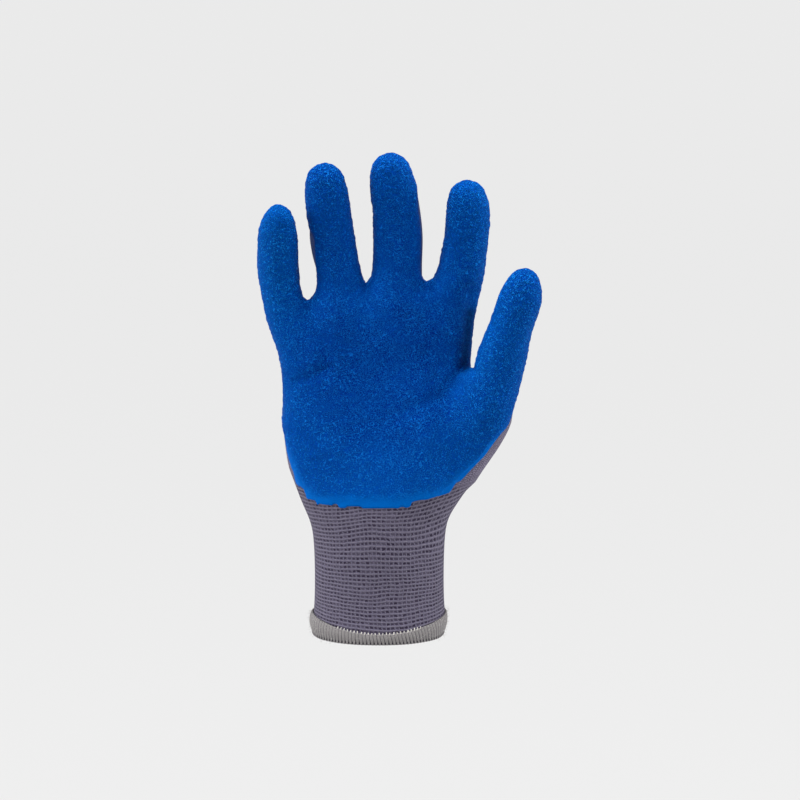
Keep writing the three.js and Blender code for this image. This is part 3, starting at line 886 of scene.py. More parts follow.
@dataclass
class Courses:
    """The map of the knit: wales counted round the hand, courses counted up from the hem."""

    skin: BVHTree
    wales: int = 85
    course: float = 2.0 * MM
    top: float = 160 * MM
    thumb_edge: float = 45.5 * MM
    lean: float = -3.0 * MM
    lean_from: float = 50 * MM
    lean_over: float = 110 * MM
    curl: float = 3.2 * MM
    curl_gone: float = 30 * MM
    sweep: float = 0.0042
    sweep_up: tuple = (35 * MM, 75 * MM)
    tilt: float = 3.4 * MM
    tilt_across: tuple = (-30 * MM, -2 * MM)
    tilt_up: tuple = (38 * MM, 62 * MM)
    half_width: float = 33 * MM
    foot: float = 6 * MM
    ring_step: float = 3 * MM
    ring_points: int = 145
    open_radius: float = 30 * MM
    behind_root: float = 15 * MM
    thumb_reach: float = 20 * MM
    finger_reach: float = 14 * MM

    def __post_init__(self) -> None:
        """Measures the girth of the hand at each height and angle."""
        self.heights = np.arange(self.foot, self.top, self.ring_step)
        self.angles = np.linspace(-math.pi, math.pi, self.ring_points)
        rows = []
        for height in self.heights:
            centre = Vector((self.middle(height), 0, height))
            ring = []
            for angle in self.angles:
                out = Vector((math.cos(angle), math.sin(angle), 0))
                hit = self.skin.ray_cast(centre, out)[3] or self.open_radius
                limit = (self.thumb_edge - centre.x) / out.x if out.x > STEEP else 1.0
                ring.append(out * min(hit, limit))
            steps = [0.0] + [(b - a).length for a, b in zip(ring, ring[1:])]
            lengths = np.cumsum(steps)
            rows.append(lengths / lengths[-1] * self.wales)
        self.table = np.array(rows)

    def middle(self, height: np.ndarray | float) -> np.ndarray | float:
        """Gives the middle of the hand at a height."""
        return self.lean * np.clip((height - self.lean_from) / self.lean_over, 0, 1)

    def of_palm(self, points: np.ndarray) -> tuple[np.ndarray, np.ndarray]:
        """Counts wales and courses on the cuff and the palm.

        Args:
            points: Places, one a row.

        Returns:
            The wale and the course of each.
        """
        height = np.clip(points[:, 2], self.heights[0], self.heights[-1])
        angle = np.arctan2(points[:, 1], points[:, 0] - self.middle(height))
        row = (height - self.heights[0]) / (self.heights[1] - self.heights[0])
        low = np.clip(row.astype(int), 0, len(self.heights) - 2)
        column = (angle + math.pi) / (self.angles[1] - self.angles[0])
        left = np.clip(column.astype(int), 0, len(self.angles) - 2)
        s, t = column - left, row - low
        table = self.table
        below = table[low, left] * (1 - s) + table[low, left + 1] * s
        above = table[low + 1, left] * (1 - s) + table[low + 1, left + 1] * s
        rise = self.curl * (points[:, 0] / self.half_width) ** 2
        rise *= 1 - smoothstep(0, self.curl_gone, height)
        side = np.clip(points[:, 0], 0, self.thumb_edge)
        rise += self.sweep * side ** 2 / MM * smoothstep(*self.sweep_up, height)
        across = smoothstep(*self.tilt_across, points[:, 0])
        rise += self.tilt * across * smoothstep(*self.tilt_up, height)
        return below * (1 - t) + above * t, (points[:, 2] - rise) / self.course

    def map_faces(self, mesh: Mesh) -> None:
        """Writes the courses map onto a mesh whose material index tells its stalls.

        Args:
            mesh: The mesh, which gets a UV map with whole wales and courses as its units.
        """
        points = points_of(mesh)
        corners, faces = loops_of(mesh)
        centres = read(mesh.polygons, "center", 3).astype(float)
        wale, course = self.of_palm(points)
        middle = self.of_palm(centres)[0][faces]
        u = wale[corners] + np.round((middle - wale[corners]) / self.wales) * self.wales
        v = course[corners]
        owner = self.owners(centres, stalls_of(mesh))
        for digit in DIGITS:
            along, angle, _ = digit.coordinates(points)
            mid_angle = digit.coordinates(centres)[1][faces]
            mine = owner[faces] == STALLS.index(digit.stall)
            along = along[corners]
            turn = angle[corners]
            turn = turn + np.round((mid_angle - turn) / math.tau) * math.tau
            behind = np.array([digit.root]) * MM + np.array([[0, self.behind_root, 0]])
            start_u, start_v = self.of_palm(behind)
            share = smoothstep(0, digit.root_length, along)
            own_u = start_u - turn / math.tau * digit.wales
            own_v = start_v + along / self.course
            u = np.where(mine, u + (own_u - u) * share, u)
            v = np.where(mine, v + (own_v - v) * share, v)
        layer = mesh.uv_layers.new(name="courses")
        layer.data.foreach_set("uv", np.stack([u, v], axis=1).astype(np.float32).ravel())

    def owners(self, centres: np.ndarray, stalls: np.ndarray) -> np.ndarray:
        """Finds which stall each face's courses follow.

        Args:
            centres: The middles of the faces.
            stalls: The stalls that the faces belong to.

        Returns:
            The stall of each face. A face of the palm beside a digit's root follows the digit.
        """
        owner = stalls.copy()
        palm = stalls == STALLS.index(Stall.PALM)
        best = np.full(len(centres), FAR)
        for digit in DIGITS:
            along, _, away = digit.coordinates(centres)
            reach = self.thumb_reach if digit.stall is Stall.THUMB else self.finger_reach
            near = palm & (along > 0) & (away < reach) & (away < best)
            owner[near] = STALLS.index(digit.stall)
            best[near] = away[near]
        return owner


@dataclass(frozen=True)
class Crease:
    """A soft valley in the palm side, or a swelling where its depth is negative. Millimetres."""

    path: tuple[tuple[float, float], ...]
    width: float
    depth: float

    def depths(self, points: np.ndarray) -> np.ndarray:
        """Works out how deep the valley is at places.

        Args:
            points: Places in millimetres, one a row.

        Returns:
            The depth at each, in millimetres.
        """
        flat = points[:, [0, 2]]
        away = np.full(len(flat), FAR)
        for start, end in zip(self.path, self.path[1:]):
            a, b = np.array(start), np.array(end)
            share = np.clip(((flat - a) @ (b - a)) / ((b - a) @ (b - a)), 0, 1)
            away = np.minimum(away, np.linalg.norm(flat - a - share[:, None] * (b - a), axis=1))
        return self.depth * np.exp(-(away / self.width) ** 2)


CREASES = [
    Crease(((-37, 166), (-28, 153), (-26, 138)), 3.6, 1.1),
    Crease(((-46, 129), (-37, 132), (-28, 136)), 3.2, 0.8),
    Crease(((-6, 178), (-5, 168)), 3.2, 1.0),
    Crease(((25, 178), (26, 166)), 3.4, 1.2),
    Crease(((-31, 146), (-33, 141)), 5.0, -0.7),
    Crease(((38, 130), (33, 124), (22, 121), (8, 114)), 4.0, 1.0),
    Crease(((1, 122), (1, 110)), 2.6, 0.5),
    Crease(((-18, 152), (-12, 140)), 4.0, 0.5),
    Crease(((25, 105), (36, 112)), 9.0, -1.0),
    Crease(((-32, 112), (-28, 98)), 9.0, -0.8),
    Crease(((-4, 128), (2, 104)), 12.0, 1.1),
    Crease(((18, 150), (4, 149)), 7.0, -0.5),
    Crease(((45, 176), (44, 155), (43, 140), (37, 131)), 4.0, 1.6),
]

# The painted shadow beside the thumb: it only makes the fold attribute and moves no vertex.
THUMB_FOLD_SHADOW = Crease(((44.6, 164), (43.6, 156), (42.6, 148), (41.6, 139)), 3.6, 1.0)


@dataclass(frozen=True)
class BareSide:
    """A stretch of a finger's side where the latex stops short. Millimetres."""

    x: float
    low: float
    high: float
    pull: float
    half_width: float = 6.0
    fade: float = 12.0
    lift: float = 1.0

    def share(self, points: np.ndarray) -> np.ndarray:
        """Works out how far places lie in the stretch.

        Args:
            points: Places in millimetres, one a row.

        Returns:
            A share from 0 to 1 for each.
        """
        beside = smoothstep(self.half_width, self.half_width / 2, np.abs(points[:, 0] - self.x))
        above = smoothstep(self.low - self.fade, self.low, points[:, 2])
        below = smoothstep(self.high + self.fade, self.high, points[:, 2])
        return beside * above * below


BARE_SIDES = [BareSide(-34.5, 182, 200, 15.0), BareSide(21, 186, 220, 9.5)]


@dataclass(frozen=True)
class Web:
    """The fold between two digits, drawn up between them. Millimetres."""

    x: float
    z: float
    radius: float
    lift: float

    def lifts(self, points: np.ndarray) -> np.ndarray:
        """Works out how far up each place is drawn, in millimetres."""
        away = np.hypot(points[:, 0] - self.x, points[:, 2] - self.z)
        return self.lift * np.exp(-(away / self.radius) ** 2)


FILLS = [
    Crease(((49, 82), (55, 91), (60, 99), (64, 109)), 6.0, -1.35),
    Crease(((47, 78.2), (47.5, 79)), 3.5, -0.5),
    Crease(((-46.5, 88), (-47.5, 106)), 8.0, -1.3),
]
WEBS = [
    Web(46, 131, 4.5, 3.6), Web(-35.8, 169, 3.2, 2.0), Web(-6.6, 178, 3.4, 1.4), Web(23.7, 178, 3.4, 2.4),
]
PALM_FACING = (0.2, 0.7)


def crease(mesh: Mesh) -> None:
    """Presses the creases into a skin's palm side, swells its sides and draws up the digits' webs.

    Args:
        mesh: The skin, which is changed.
    """
    points, normals = points_of(mesh), normals_of(mesh)
    depth = sum(fold.depths(points / MM) for fold in CREASES) * MM
    moved = points - normals * (depth * smoothstep(*PALM_FACING, -normals[:, 1]))[:, None]
    fill = sum(side.lift * side.share(points / MM) for side in BARE_SIDES)
    fill -= sum(swelling.depths(points / MM) for swelling in FILLS)
    moved += normals * fill[:, None] * MM
    moved[:, 2] += sum(web.lifts(points / MM) for web in WEBS) * MM
    place_points(mesh, moved)


@dataclass
class KnitSkin:
    """The seamless knit: cuff, palm, thumb and fingers in one piece."""

    wall: float = 1.2 * MM
    seam: float = 0.4 * MM
    flat: float = 0.6
    square: float = 1.0
    levels: int = 2

    def coarse(self) -> Mesh:
        """Joins the outer sides of the CAD stalls into one skin.

        Returns:
            A coarse open mesh whose material indices tell the stalls.
        """
        whole = bmesh.new()
        for index, stall in enumerate(STALLS):
            part = outer_side(stall.value)
            for face in part.faces:
                face.material_index = index
            whole.from_mesh(mesh_of(part, stall.value + "_side"))
        rims = [vert for vert in whole.verts if vert.is_boundary]
        bmesh.ops.remove_doubles(whole, verts=rims, dist=self.seam)
        bmesh.ops.join_triangles(
            whole, faces=whole.faces, angle_face_threshold=self.flat, angle_shape_threshold=self.square,
            cmp_materials=True,
        )
        left = sum(edge.is_boundary for edge in whole.edges)
        LOG.info("knit skin: %d coarse faces, %d rim edges", len(whole.faces), left)
        return mesh_of(whole, "knit_coarse")

    def build(self, courses: Courses, coarse: Mesh) -> None:
        """Makes the knit piece, with its wall.

        Args:
            courses: The map of the knit.
            coarse: The coarse skin.
        """
        mesh = subdivided(coarse.copy(), self.levels, "knit_skin")
        courses.map_faces(mesh)
        crease(mesh)
        liner = (stalls_of(mesh) != STALLS.index(Stall.CUFF)).astype(np.int32)
        mesh.polygons.foreach_set("material_index", liner)
        mesh.materials.clear()
        for slot in (Slot.CUFF, Slot.LINER):
            mesh.materials.append(KnitFinish().material(slot.value))
        piece = shown("knit_skin", mesh)
        wall = piece.modifiers.new("wall", "SOLIDIFY")
        wall.thickness = self.wall
        wall.offset = -1
        cover(piece, Slot.LINER, *[stall.value for stall in STALLS])


@dataclass
class LatexCoat:
    """The dipped latex: a crinkled skin over the palm side and the fingertips."""

    levels: int = 3
    film: float = 0.35 * MM
    body: float = 1.15 * MM
    swell: float = 6 * MM
    crinkle: float = 0.34 * MM
    ragged: float = 0.8 * MM
    step_wales: float = 2.5
    plain_from: tuple = (77 * MM, 86 * MM)
    wrap: float = 4.4 * MM
    wrap_from: tuple = (98 * MM, 118 * MM)
    wedge: float = 2.7 * MM
    left_wedge: float = 1.1 * MM
    wedge_from: tuple = (18 * MM, 36 * MM)
    band_gone: float = 12 * MM
    band_from: tuple = (84 * MM, 138 * MM)
    kept_share: float = 0.72
    rim_step: float = 0.4 * MM
    reach: float = 2.5 * MM
    sure: float = 3 * MM
    seed: int = 7
    scrap_rounds: int = 8
    rim_rounds: int = 2
    fine_pitch: float = 1.5 * MM
    broad_pitch: float = 3.4 * MM
    broad_share: float = 0.6
    rim_crinkle: float = 0.35

    def build(self, courses: Courses, coarse: Mesh) -> None:
        """Makes the latex piece.

        Args:
            courses: The map of the knit, which the edge of the latex follows.
            coarse: The coarse skin that it lies on.
        """
        mesh = subdivided(coarse.copy(), self.levels, "latex_coat")
        courses.map_faces(mesh)
        depth = self.edge_depth(mesh)
        points = points_of(mesh)
        high = smoothstep(*self.wrap_from, points[:, 2])
        wedge = np.where(points[:, 0] > 0, self.wedge, self.left_wedge)
        depth += self.wrap * high + wedge * (1 - high) * smoothstep(*self.wedge_from, np.abs(points[:, 0]))
        depth -= sum(side.pull * side.share(points / MM) for side in BARE_SIDES) * MM
        crease(mesh)
        self.trim(mesh, depth)
        piece = shown("latex_coat", mesh)
        self.raise_skin(piece)
        mesh.materials.clear()
        mesh.materials.append(LatexFinish().material(Slot.LATEX.value))
        mesh.polygons.foreach_set("material_index", np.zeros(len(mesh.polygons), np.int32))
        cover(piece, Slot.LATEX, LATEX_NODE)

    def edge_depth(self, mesh: Mesh) -> np.ndarray:
        """Measures how far inside the CAD coating each vertex lies.

        Args:
            mesh: The fine skin.

        Returns:
            The distance to the coating's edge, negative outside it.
        """
        side = outer_side(LATEX_NODE)
        tree = BVHTree.FromBMesh(side)
        samples = []
        for edge in (edge for edge in side.edges if edge.is_boundary):
            a, b = (vert.co for vert in edge.verts)
            count = max(1, int((b - a).length / self.rim_step))
            samples.extend(a.lerp(b, k / count) for k in range(count))
        nearest = KDTree(len(samples))
        for index, place in enumerate(samples):
            nearest.insert(place, index)
        nearest.balance()
        depth = np.empty(len(mesh.vertices))
        points, normals = points_of(mesh), normals_of(mesh)
        for index, (point, normal) in enumerate(zip(points, normals)):
            place = Vector(point)
            covered = tree.ray_cast(place, Vector(normal), self.reach)[0] is not None
            away = nearest.find(place)[2]
            depth[index] = away if covered else -away
        side.free()
        return depth

    def trim(self, mesh: Mesh, depth: np.ndarray) -> None:
        """Cuts the skin to the coating, stitch by stitch, and keeps each vertex's depth.

        Args:
            mesh: The fine skin, which is cut.
            depth: How far inside the coating each vertex lies.
        """
        corners, faces = loops_of(mesh)
        sizes = np.bincount(faces)
        points = points_of(mesh)
        face_depth = np.bincount(faces, depth[corners]) / sizes
        uv = read(mesh.uv_layers["courses"].data, "uv", 2) / (self.step_wales, 1)
        cells = np.stack([np.floor(np.bincount(faces, line) / sizes) for line in uv.T], axis=1)
        stitch = np.unique(cells, axis=0, return_inverse=True)[1].ravel()
        stitches = stitch.max() + 1
        mean = np.bincount(stitch, face_depth, stitches) / np.bincount(stitch, minlength=stitches)
        jitter = np.random.default_rng(self.seed).uniform(-self.ragged, self.ragged, stitches)
        plain = smoothstep(*self.plain_from, np.bincount(faces, points[corners, 2]) / sizes)
        kept = (mean + jitter)[stitch] * (1 - plain) + face_depth * plain > 0
        kept &= face_depth > -self.sure
        kept |= face_depth > self.sure
        crinkled = depth + self.band_gone * smoothstep(*self.band_from, points[:, 2])
        # fold is the share of painted shadow beside the thumb.
        fold = THUMB_FOLD_SHADOW.depths(points / MM) * MM
        for label, values in (("from_edge", crinkled), ("depth", depth), ("fold", fold)):
            attribute = mesh.attributes.new(label, "FLOAT", "POINT")
            attribute.data.foreach_set("value", (values / MM).astype(np.float32))
        bm = bmesh.new()
        bm.from_mesh(mesh)
        bm.faces.ensure_lookup_table()
        gone = [bm.faces[index] for index in np.nonzero(~kept)[0]]
        bmesh.ops.delete(bm, geom=gone, context="FACES")
        self.drop_scraps(bm)
        for _ in range(self.rim_rounds):
            self.soften_rim(bm)
        bm.to_mesh(mesh)
        bm.free()

    def drop_scraps(self, bm: BMesh) -> None:
        """Takes away faces that hang on by a corner, and islands.

        Args:
            bm: The coating.
        """
        for _ in range(self.scrap_rounds):
            pinched = [
                vert for vert in bm.verts
                if sum(edge.is_boundary for edge in vert.link_edges) > 2
            ]
            if not pinched:
                break
            loose = {face for vert in pinched for face in vert.link_faces}
            bmesh.ops.delete(bm, geom=list(loose), context="FACES")
        keep_faces(bm, largest_patch(bm, lambda edge: True))

    @staticmethod
    def soften_rim(bm: BMesh) -> None:
        """Rounds the steps of the coating's edge.

        Args:
            bm: The coating.
        """
        moves = {}
        for vert in bm.verts:
            if vert.is_boundary:
                beside = [edge.other_vert(vert).co for edge in vert.link_edges if edge.is_boundary]
                moves[vert] = vert.co.lerp(sum(beside, Vector()) / len(beside), 0.5)
        for vert, place in moves.items():
            vert.co = place

    def raise_skin(self, piece: Object) -> None:
        """Lifts the coating off the knit, crinkles it and closes it underneath.

        Args:
            piece: The coating, which still lies on the knit.
        """
        mesh = piece.data
        points, normals = points_of(mesh), normals_of(mesh)
        inside, rough = (
            smoothstep(0, self.swell, read(mesh.attributes[label].data, "value") * MM)
            for label in ("depth", "from_edge")
        )
        fine = np.array([
            noise.noise(point / self.fine_pitch) + self.broad_share * noise.noise(point / self.broad_pitch)
            for point in map(Vector, points)
        ])
        height = self.film + (self.body - self.film) * inside
        height += fine * self.crinkle * rough * (self.rim_crinkle + (1 - self.rim_crinkle) * inside)
        place_points(mesh, points + normals * height[:, None])
        under = piece.vertex_groups.new(name="under")
        wall = piece.modifiers.new("wall", "SOLIDIFY")
        wall.thickness = self.film
        wall.offset = -1
        wall.shell_vertex_group = under.name
        thin = piece.modifiers.new("thin", "DECIMATE")
        thin.ratio = self.kept_share
        thin.vertex_group = under.name


@dataclass
class Hem:
    """The overlocked hem: a band of ribbed thread folded over the cuff's raw edge."""

    ribs: int = 107
    steps: int = 8
    height: float = 4.3 * MM
    side_rise: float = 2.3 * MM
    side_drop: float = 4.0 * MM
    side_tuck: float = 2.8 * MM
    left_flare: float = 1.2 * MM
    half_width: float = 35 * MM
    outside: float = 1.3 * MM
    inside: float = 2.5 * MM
    lower: float = 1.2 * MM
    rib: float = 0.24 * MM
    slant: float = 0.55
    wall_steps: int = 9
    fold_steps: int = 9
    stitches: int = 104
    stitched: float = 0.4
    stitch_length: float = 1.25 * MM
    stitch_radius: float = 0.26 * MM
    fibres: int = 1000
    fibre_length: tuple[float, float] = (0.7 * MM, 2.1 * MM)
    fibre_radius: float = 0.05 * MM
    fibre_colour: Colour = linear(178, 175, 174)
    fibre_top: float = 1.05
    fibre_scatter: float = 0.45
    fibre_least: float = 0.3
    fibre_bottom: float = 0.15
    fibre_depth: float = 0.9
    fibre_rise: float = 0.6
    fibre_out: float = 0.35
    fibre_seed: int = 23
    belly: float = 0.2
    wall_top: float = 0.93
    outer_lip: tuple = ((0.1 * MM, 0.9, 0.0), (0.6 * MM, 1.0, 0.5))
    inner_lip: tuple = ((-1.8 * MM, 1.0, 0.5), (-1.3 * MM, 0.9, 0.0))
    wave_power: float = 0.7
    wave_middle: float = 0.6
    wave_rise: float = 0.75
    stitch_out: float = 0.75 * MM
    stitch_lean: float = 0.25
    stitch_thick: tuple = (0.75, 1.15)
    stitch_long: tuple = (0.8, 1.2)
    stitch_seed: int = 11

    def mouth(self, coarse: Mesh) -> tuple[np.ndarray, np.ndarray]:
        """Follows the cuff's edge.

        Args:
            coarse: The coarse skin.

        Returns:
            Evenly spaced points along the edge, and the outward direction at each.
        """
        bm = bmesh.new()
        bm.from_mesh(subdivided(coarse.copy(), 2, "mouth"))
        start = next(vert for vert in bm.verts if vert.is_boundary)
        loop, seen, here = [], set(), start
        while here is not None:
            loop.append(here)
            seen.add(here)
            beside = [edge.other_vert(here) for edge in here.link_edges if edge.is_boundary]
            here = next((vert for vert in beside if vert not in seen), None)
        points = np.array([vert.co[:] for vert in [*loop, start]])
        normals = np.array([vert.normal[:] for vert in [*loop, start]])
        bm.free()
        lengths = lengths_along(points)
        count = self.ribs * self.steps
        even = np.arange(count) / count * lengths[-1]
        return rows_at(even, lengths, points), unit(rows_at(even, lengths, normals))

    def section(self) -> np.ndarray:
        """Draws the folded section.

        Returns:
            Points from the outer top edge down, round the lower edge and up inside. Each has its
            reach out of the cuff's skin, its share of the height over the cuff's edge, its depth
            under that edge and how far the ribs stand out there.
        """
        middle, half = (self.outside - self.inside) / 2, (self.outside + self.inside) / 2
        walls = np.linspace(0, 1, self.wall_steps)
        belly = 1 - self.belly * (1 - np.sin(math.pi * walls))
        outer = [(reach, up, 0.0, weight) for reach, up, weight in self.outer_lip]
        outer += [(self.outside * b, self.wall_top * (1 - w), 0.0, 1.0) for w, b in zip(walls, belly)]
        turns = np.linspace(0, math.pi, self.fold_steps)[1:-1]
        fold = [(middle + half * math.cos(t), 0.0, self.lower * math.sin(t), 1.0) for t in turns]
        inner = [(-self.inside * b, self.wall_top * w, 0.0, 1.0) for w, b in zip(walls, belly)]
        inner += [(reach, up, 0.0, weight) for reach, up, weight in self.inner_lip]
        return np.array(outer + fold + inner)

    def sweep(self, bm: BMesh, count: int, turns: int) -> list[list[BMVert]]:
        """Extrudes a ring into a band.

        Args:
            bm: The mesh that it is made in.
            count: How many vertices the ring has.
            turns: How many rings the band has.

        Returns:
            The rings, each in the same order round the band.
        """
        ring = bmesh.ops.create_circle(bm, segments=count, radius=1.0)["verts"]
        rings = [sorted(ring, key=lambda vert: math.atan2(vert.co.y, vert.co.x) % math.tau)]
        edges = list(bm.edges)
        for _ in range(turns - 1):
            made = bmesh.ops.extrude_edge_only(bm, edges=edges)["geom"]
            fresh = {item for item in made if isinstance(item, BMVert)}
            edges = [
                item for item in made
                if isinstance(item, BMEdge) and all(vert in fresh for vert in item.verts)
            ]
            step = {}
            for vert in fresh:
                for edge in vert.link_edges:
                    step[edge.other_vert(vert)] = vert
            rings.append([step[vert] for vert in rings[-1]])
        return rings

    def bent(self, x: np.ndarray, reach: float, up: float, down: float) -> tuple[np.ndarray, np.ndarray]:
        """Bends a place of the section where the hem turns to the glove's sides.

        Args:
            x: Where it is wanted, across the glove.
            reach: Its reach out of the cuff's skin.
            up: Its share of the height over the cuff's edge.
            down: Its depth under that edge.

        Returns:
            The distance out of the skin and the height over the edge.
        """
        side = (x / self.half_width) ** 2
        out = reach - self.side_tuck * side * (1 - up) ** 2
        out = out + self.left_flare * side * (x < 0) * (1 - up ** 3)
        tall = up * (self.height + self.side_rise * side) - down - self.side_drop * side * (1 - up)
        return out, tall

    def build(self, coarse: Mesh) -> None:
        """Makes the folded band, the needle stitches along its top and the fuzz of its thread.

        Args:
            coarse: The coarse skin.
        """
        places, outward = self.mouth(coarse)
        count = len(places)
        upward = np.cross(outward, unit(np.roll(places, -1, axis=0) - np.roll(places, 1, axis=0)))
        upward *= np.sign(upward[:, 2:3])
        side = (places[:, 0] / self.half_width) ** 2
        section = self.section()
        bm = bmesh.new()
        layer = bm.loops.layers.uv.new("ribs")
        rings = self.sweep(bm, count, len(section))
        columns = {}
        for row, (ring, (reach, up, down, weight)) in enumerate(zip(rings, section)):
            lean = self.slant * up * (1 if row < len(section) / 2 else -1)
            number = np.arange(count) / self.steps + lean
            wave = np.abs(np.cos(np.pi * number)) ** self.wave_power - self.wave_middle
            wave = wave * self.rib * weight
            out, tall = self.bent(places[:, 0], reach, up, down)
            out += np.sign(reach) * wave
            tall += wave * (self.wave_rise if up > 0 else -self.wave_rise)
            ends = places + outward * out[:, None] + upward * tall[:, None]
            for k, vert in enumerate(ring):
                vert.co = ends[k]
                columns[vert] = (k, number[k], row)
        for face in bm.faces:
            numbers = [columns[loop.vert][0] for loop in face.loops]
            wraps = max(numbers) - min(numbers) > 2
            for loop in face.loops:
                k, number, row = columns[loop.vert]
                turn = self.ribs if wraps and k == 0 else 0
                loop[layer].uv = (number + turn + 0.5, row / (len(section) - 1))
        bmesh.ops.recalc_face_normals(bm, faces=bm.faces)
        mesh = mesh_of(bm, "overlock_hem")
        mesh.materials.append(ThreadFinish().material(Slot.HEM.value))
        cover(shown("overlock_hem", mesh), Slot.HEM, HEM_NODE)
        top = self.height + self.side_rise * side
        ends = places + outward * self.stitch_out + upward * top[:, None]
        self.add_stitches(ends, outward, upward, side < self.stitched)
        self.add_fuzz(places, outward, upward)

    def add_fuzz(self, places: np.ndarray, outward: np.ndarray, upward: np.ndarray) -> None:
        """Lets short fibres stand out of the band, most of them at its sides.

        Args:
            places: Points along the cuff's edge.
            outward: The outward direction at each.
            upward: The upward direction at each.
        """
        bm = bmesh.new()
        chance = np.random.default_rng(self.fibre_seed)
        for _ in range(self.fibres):
            k = int(chance.integers(len(places)))
            up, kept = chance.uniform(0, self.fibre_top), chance.random()
            if kept > self.fibre_least + (places[k, 0] / self.half_width) ** 2:
                continue
            down = self.lower * (up < self.fibre_bottom)
            out, tall = self.bent(places[k, 0], self.outside * self.fibre_depth, up, down)
            root = Vector(places[k] + outward[k] * out + upward[k] * tall)
            away = Vector(outward[k]) * (self.fibre_out + up) + Vector(upward[k]) * (up - self.fibre_rise)
            away = (away + Vector(chance.normal(0, self.fibre_scatter, 3))).normalized()
            length = chance.uniform(*self.fibre_length)
            turn = away.to_track_quat("Z", "Y")
            made = bmesh.ops.create_cone(
                bm, segments=3, radius1=self.fibre_radius, radius2=self.fibre_radius / 3, depth=length
            )
            for vert in made["verts"]:
                vert.co = turn @ (vert.co + Vector((0, 0, length / 2))) + root
        mesh = mesh_of(bm, "hem_fuzz")
        mesh.materials.append(StitchFinish(self.fibre_colour).material("hem_fuzz"))
        cover(shown("hem_fuzz", mesh), Slot.HEM, HEM_NODE)

    def add_stitches(
        self, places: np.ndarray, outward: np.ndarray, upward: np.ndarray, bare: np.ndarray
    ) -> None:
        """Sews white needle stitches over the band's top edge.

        Args:
            places: Points along the top edge.
            outward: The outward direction at each.
            upward: The upward direction at each.
            bare: Whether the stitches show at each.
        """
        bm = bmesh.new()
        jitter = np.random.default_rng(self.stitch_seed)
        for number in range(self.stitches):
            k = int(number / self.stitches * len(places))
            if not bare[k]:
                continue
            turned = jitter.uniform(-self.stitch_lean, self.stitch_lean)
            side = Vector(outward[k]).cross(Vector(upward[k]))
            up = (Vector(upward[k]) + side * turned).normalized()
            radius = self.stitch_radius * jitter.uniform(*self.stitch_thick)
            made = bmesh.ops.create_uvsphere(bm, u_segments=8, v_segments=6, radius=radius)["verts"]
            stretch = self.stitch_length / 2 * jitter.uniform(*self.stitch_long)
            turn = up.to_track_quat("Z", "Y")
            for vert in made:
                lifted = Vector((vert.co.x, vert.co.y, vert.co.z + math.copysign(stretch, vert.co.z)))
                vert.co = turn @ lifted + Vector(places[k])
        mesh = mesh_of(bm, "needle_stitches")
        mesh.materials.append(StitchFinish().material("needle_thread"))
        cover(shown("needle_stitches", mesh), Slot.HEM, HEM_NODE)


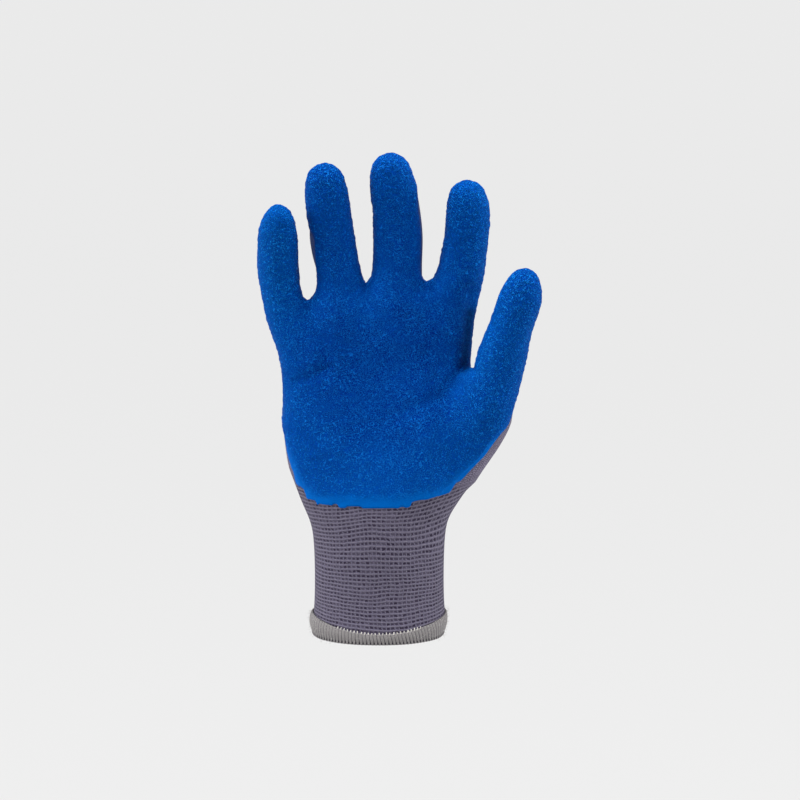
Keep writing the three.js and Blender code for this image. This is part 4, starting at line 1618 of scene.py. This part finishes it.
@dataclass
class Studio:
    """The pale floor, the soft lights and the camera."""

    target: tuple[float, float, float] = (10.5 * MM, 0.0, 120 * MM)
    distance: float = 1050 * MM
    elevation: float = math.radians(10)
    lens: float = 94.5
    floor: float = -260 * MM
    floor_radius: float = 7.0
    rim_radius: float = 2.6
    rim_steps: int = 12
    floor_segments: int = 64
    surround: float = 0.09
    softbox: float = 0.8
    softboxes: tuple = (
        ("left_softbox", (-1.2, -0.24, 0.4), 16.5),
        ("right_softbox", (1.2, -0.16, 0.35), 13.5),
        ("top_softbox", (0.0, -0.18, 1.3), 29.0),
    )

    def build(self) -> None:
        """Sets up the floor, the lights, the camera and the plain view of colours."""
        self.add_floor()
        self.add_lights()
        self.add_camera()
        bpy.context.scene.view_settings.view_transform = "Standard"

    def add_floor(self) -> None:
        """Lays a seamless round floor whose rim curves up all round."""
        bm = bmesh.new()
        bmesh.ops.create_circle(bm, cap_ends=True, segments=self.floor_segments, radius=self.floor_radius)
        bmesh.ops.translate(bm, verts=bm.verts, vec=(0, 0, self.floor))
        rim = [edge for edge in bm.edges if edge.is_boundary]
        for step in range(1, self.rim_steps + 1):
            turn = math.radians(90) * step / self.rim_steps
            made = bmesh.ops.extrude_edge_only(bm, edges=rim)["geom"]
            raised = [item for item in made if isinstance(item, BMVert)]
            rim = [item for item in made if isinstance(item, BMEdge) and item.is_boundary]
            radius = self.floor_radius + self.rim_radius * math.sin(turn)
            for vert in raised:
                out = Vector((vert.co.x, vert.co.y, 0)).normalized() * radius
                vert.co = (out.x, out.y, self.floor + self.rim_radius * (1 - math.cos(turn)))
        bmesh.ops.recalc_face_normals(bm, faces=bm.faces)
        floor = shown("floor", mesh_of(bm, "floor"))
        floor.data.materials.append(FloorFinish().material("paper"))

    def add_lights(self) -> None:
        """Hangs two soft side lights and a soft top light, in an even pale surround."""
        world = bpy.data.worlds.new("surround")
        world.use_nodes = True
        background = world.node_tree.nodes["Background"].inputs
        background["Color"].default_value = (1, 1, 1, 1)
        background["Strength"].default_value = self.surround
        bpy.context.scene.world = world
        for name, place, power in self.softboxes:
            data = bpy.data.lights.new(name, "AREA")
            data.shape = "SQUARE"
            data.size = self.softbox
            data.energy = power
            lamp = bpy.data.objects.new(name, data)
            lamp.location = place
            aim = Vector(self.target) - Vector(place)
            lamp.rotation_euler = aim.to_track_quat("-Z", "Y").to_euler()
            bpy.context.scene.collection.objects.link(lamp)

    def add_camera(self) -> None:
        """Stands the camera at the photograph's angle."""
        data = bpy.data.cameras.new("camera")
        data.lens = self.lens
        data.sensor_width = 36
        camera = bpy.data.objects.new("camera", data)
        back = Vector((0, -math.cos(self.elevation), math.sin(self.elevation)))
        camera.location = Vector(self.target) + back * self.distance
        camera.rotation_euler = (-back).to_track_quat("-Z", "Y").to_euler()
        bpy.context.scene.collection.objects.link(camera)
        bpy.context.scene.camera = camera


def main() -> None:
    """Builds the glove and its studio."""
    logging.basicConfig(level=logging.INFO, format="%(message)s")
    skin = KnitSkin()
    coarse = skin.coarse()
    bm = bmesh.new()
    bm.from_mesh(coarse)
    courses = Courses(BVHTree.FromBMesh(bm))
    bm.free()
    skin.build(courses, coarse)
    LatexCoat().build(courses, coarse)
    Hem().build(coarse)
    Studio().build()


if __name__ == "__main__":
    main()
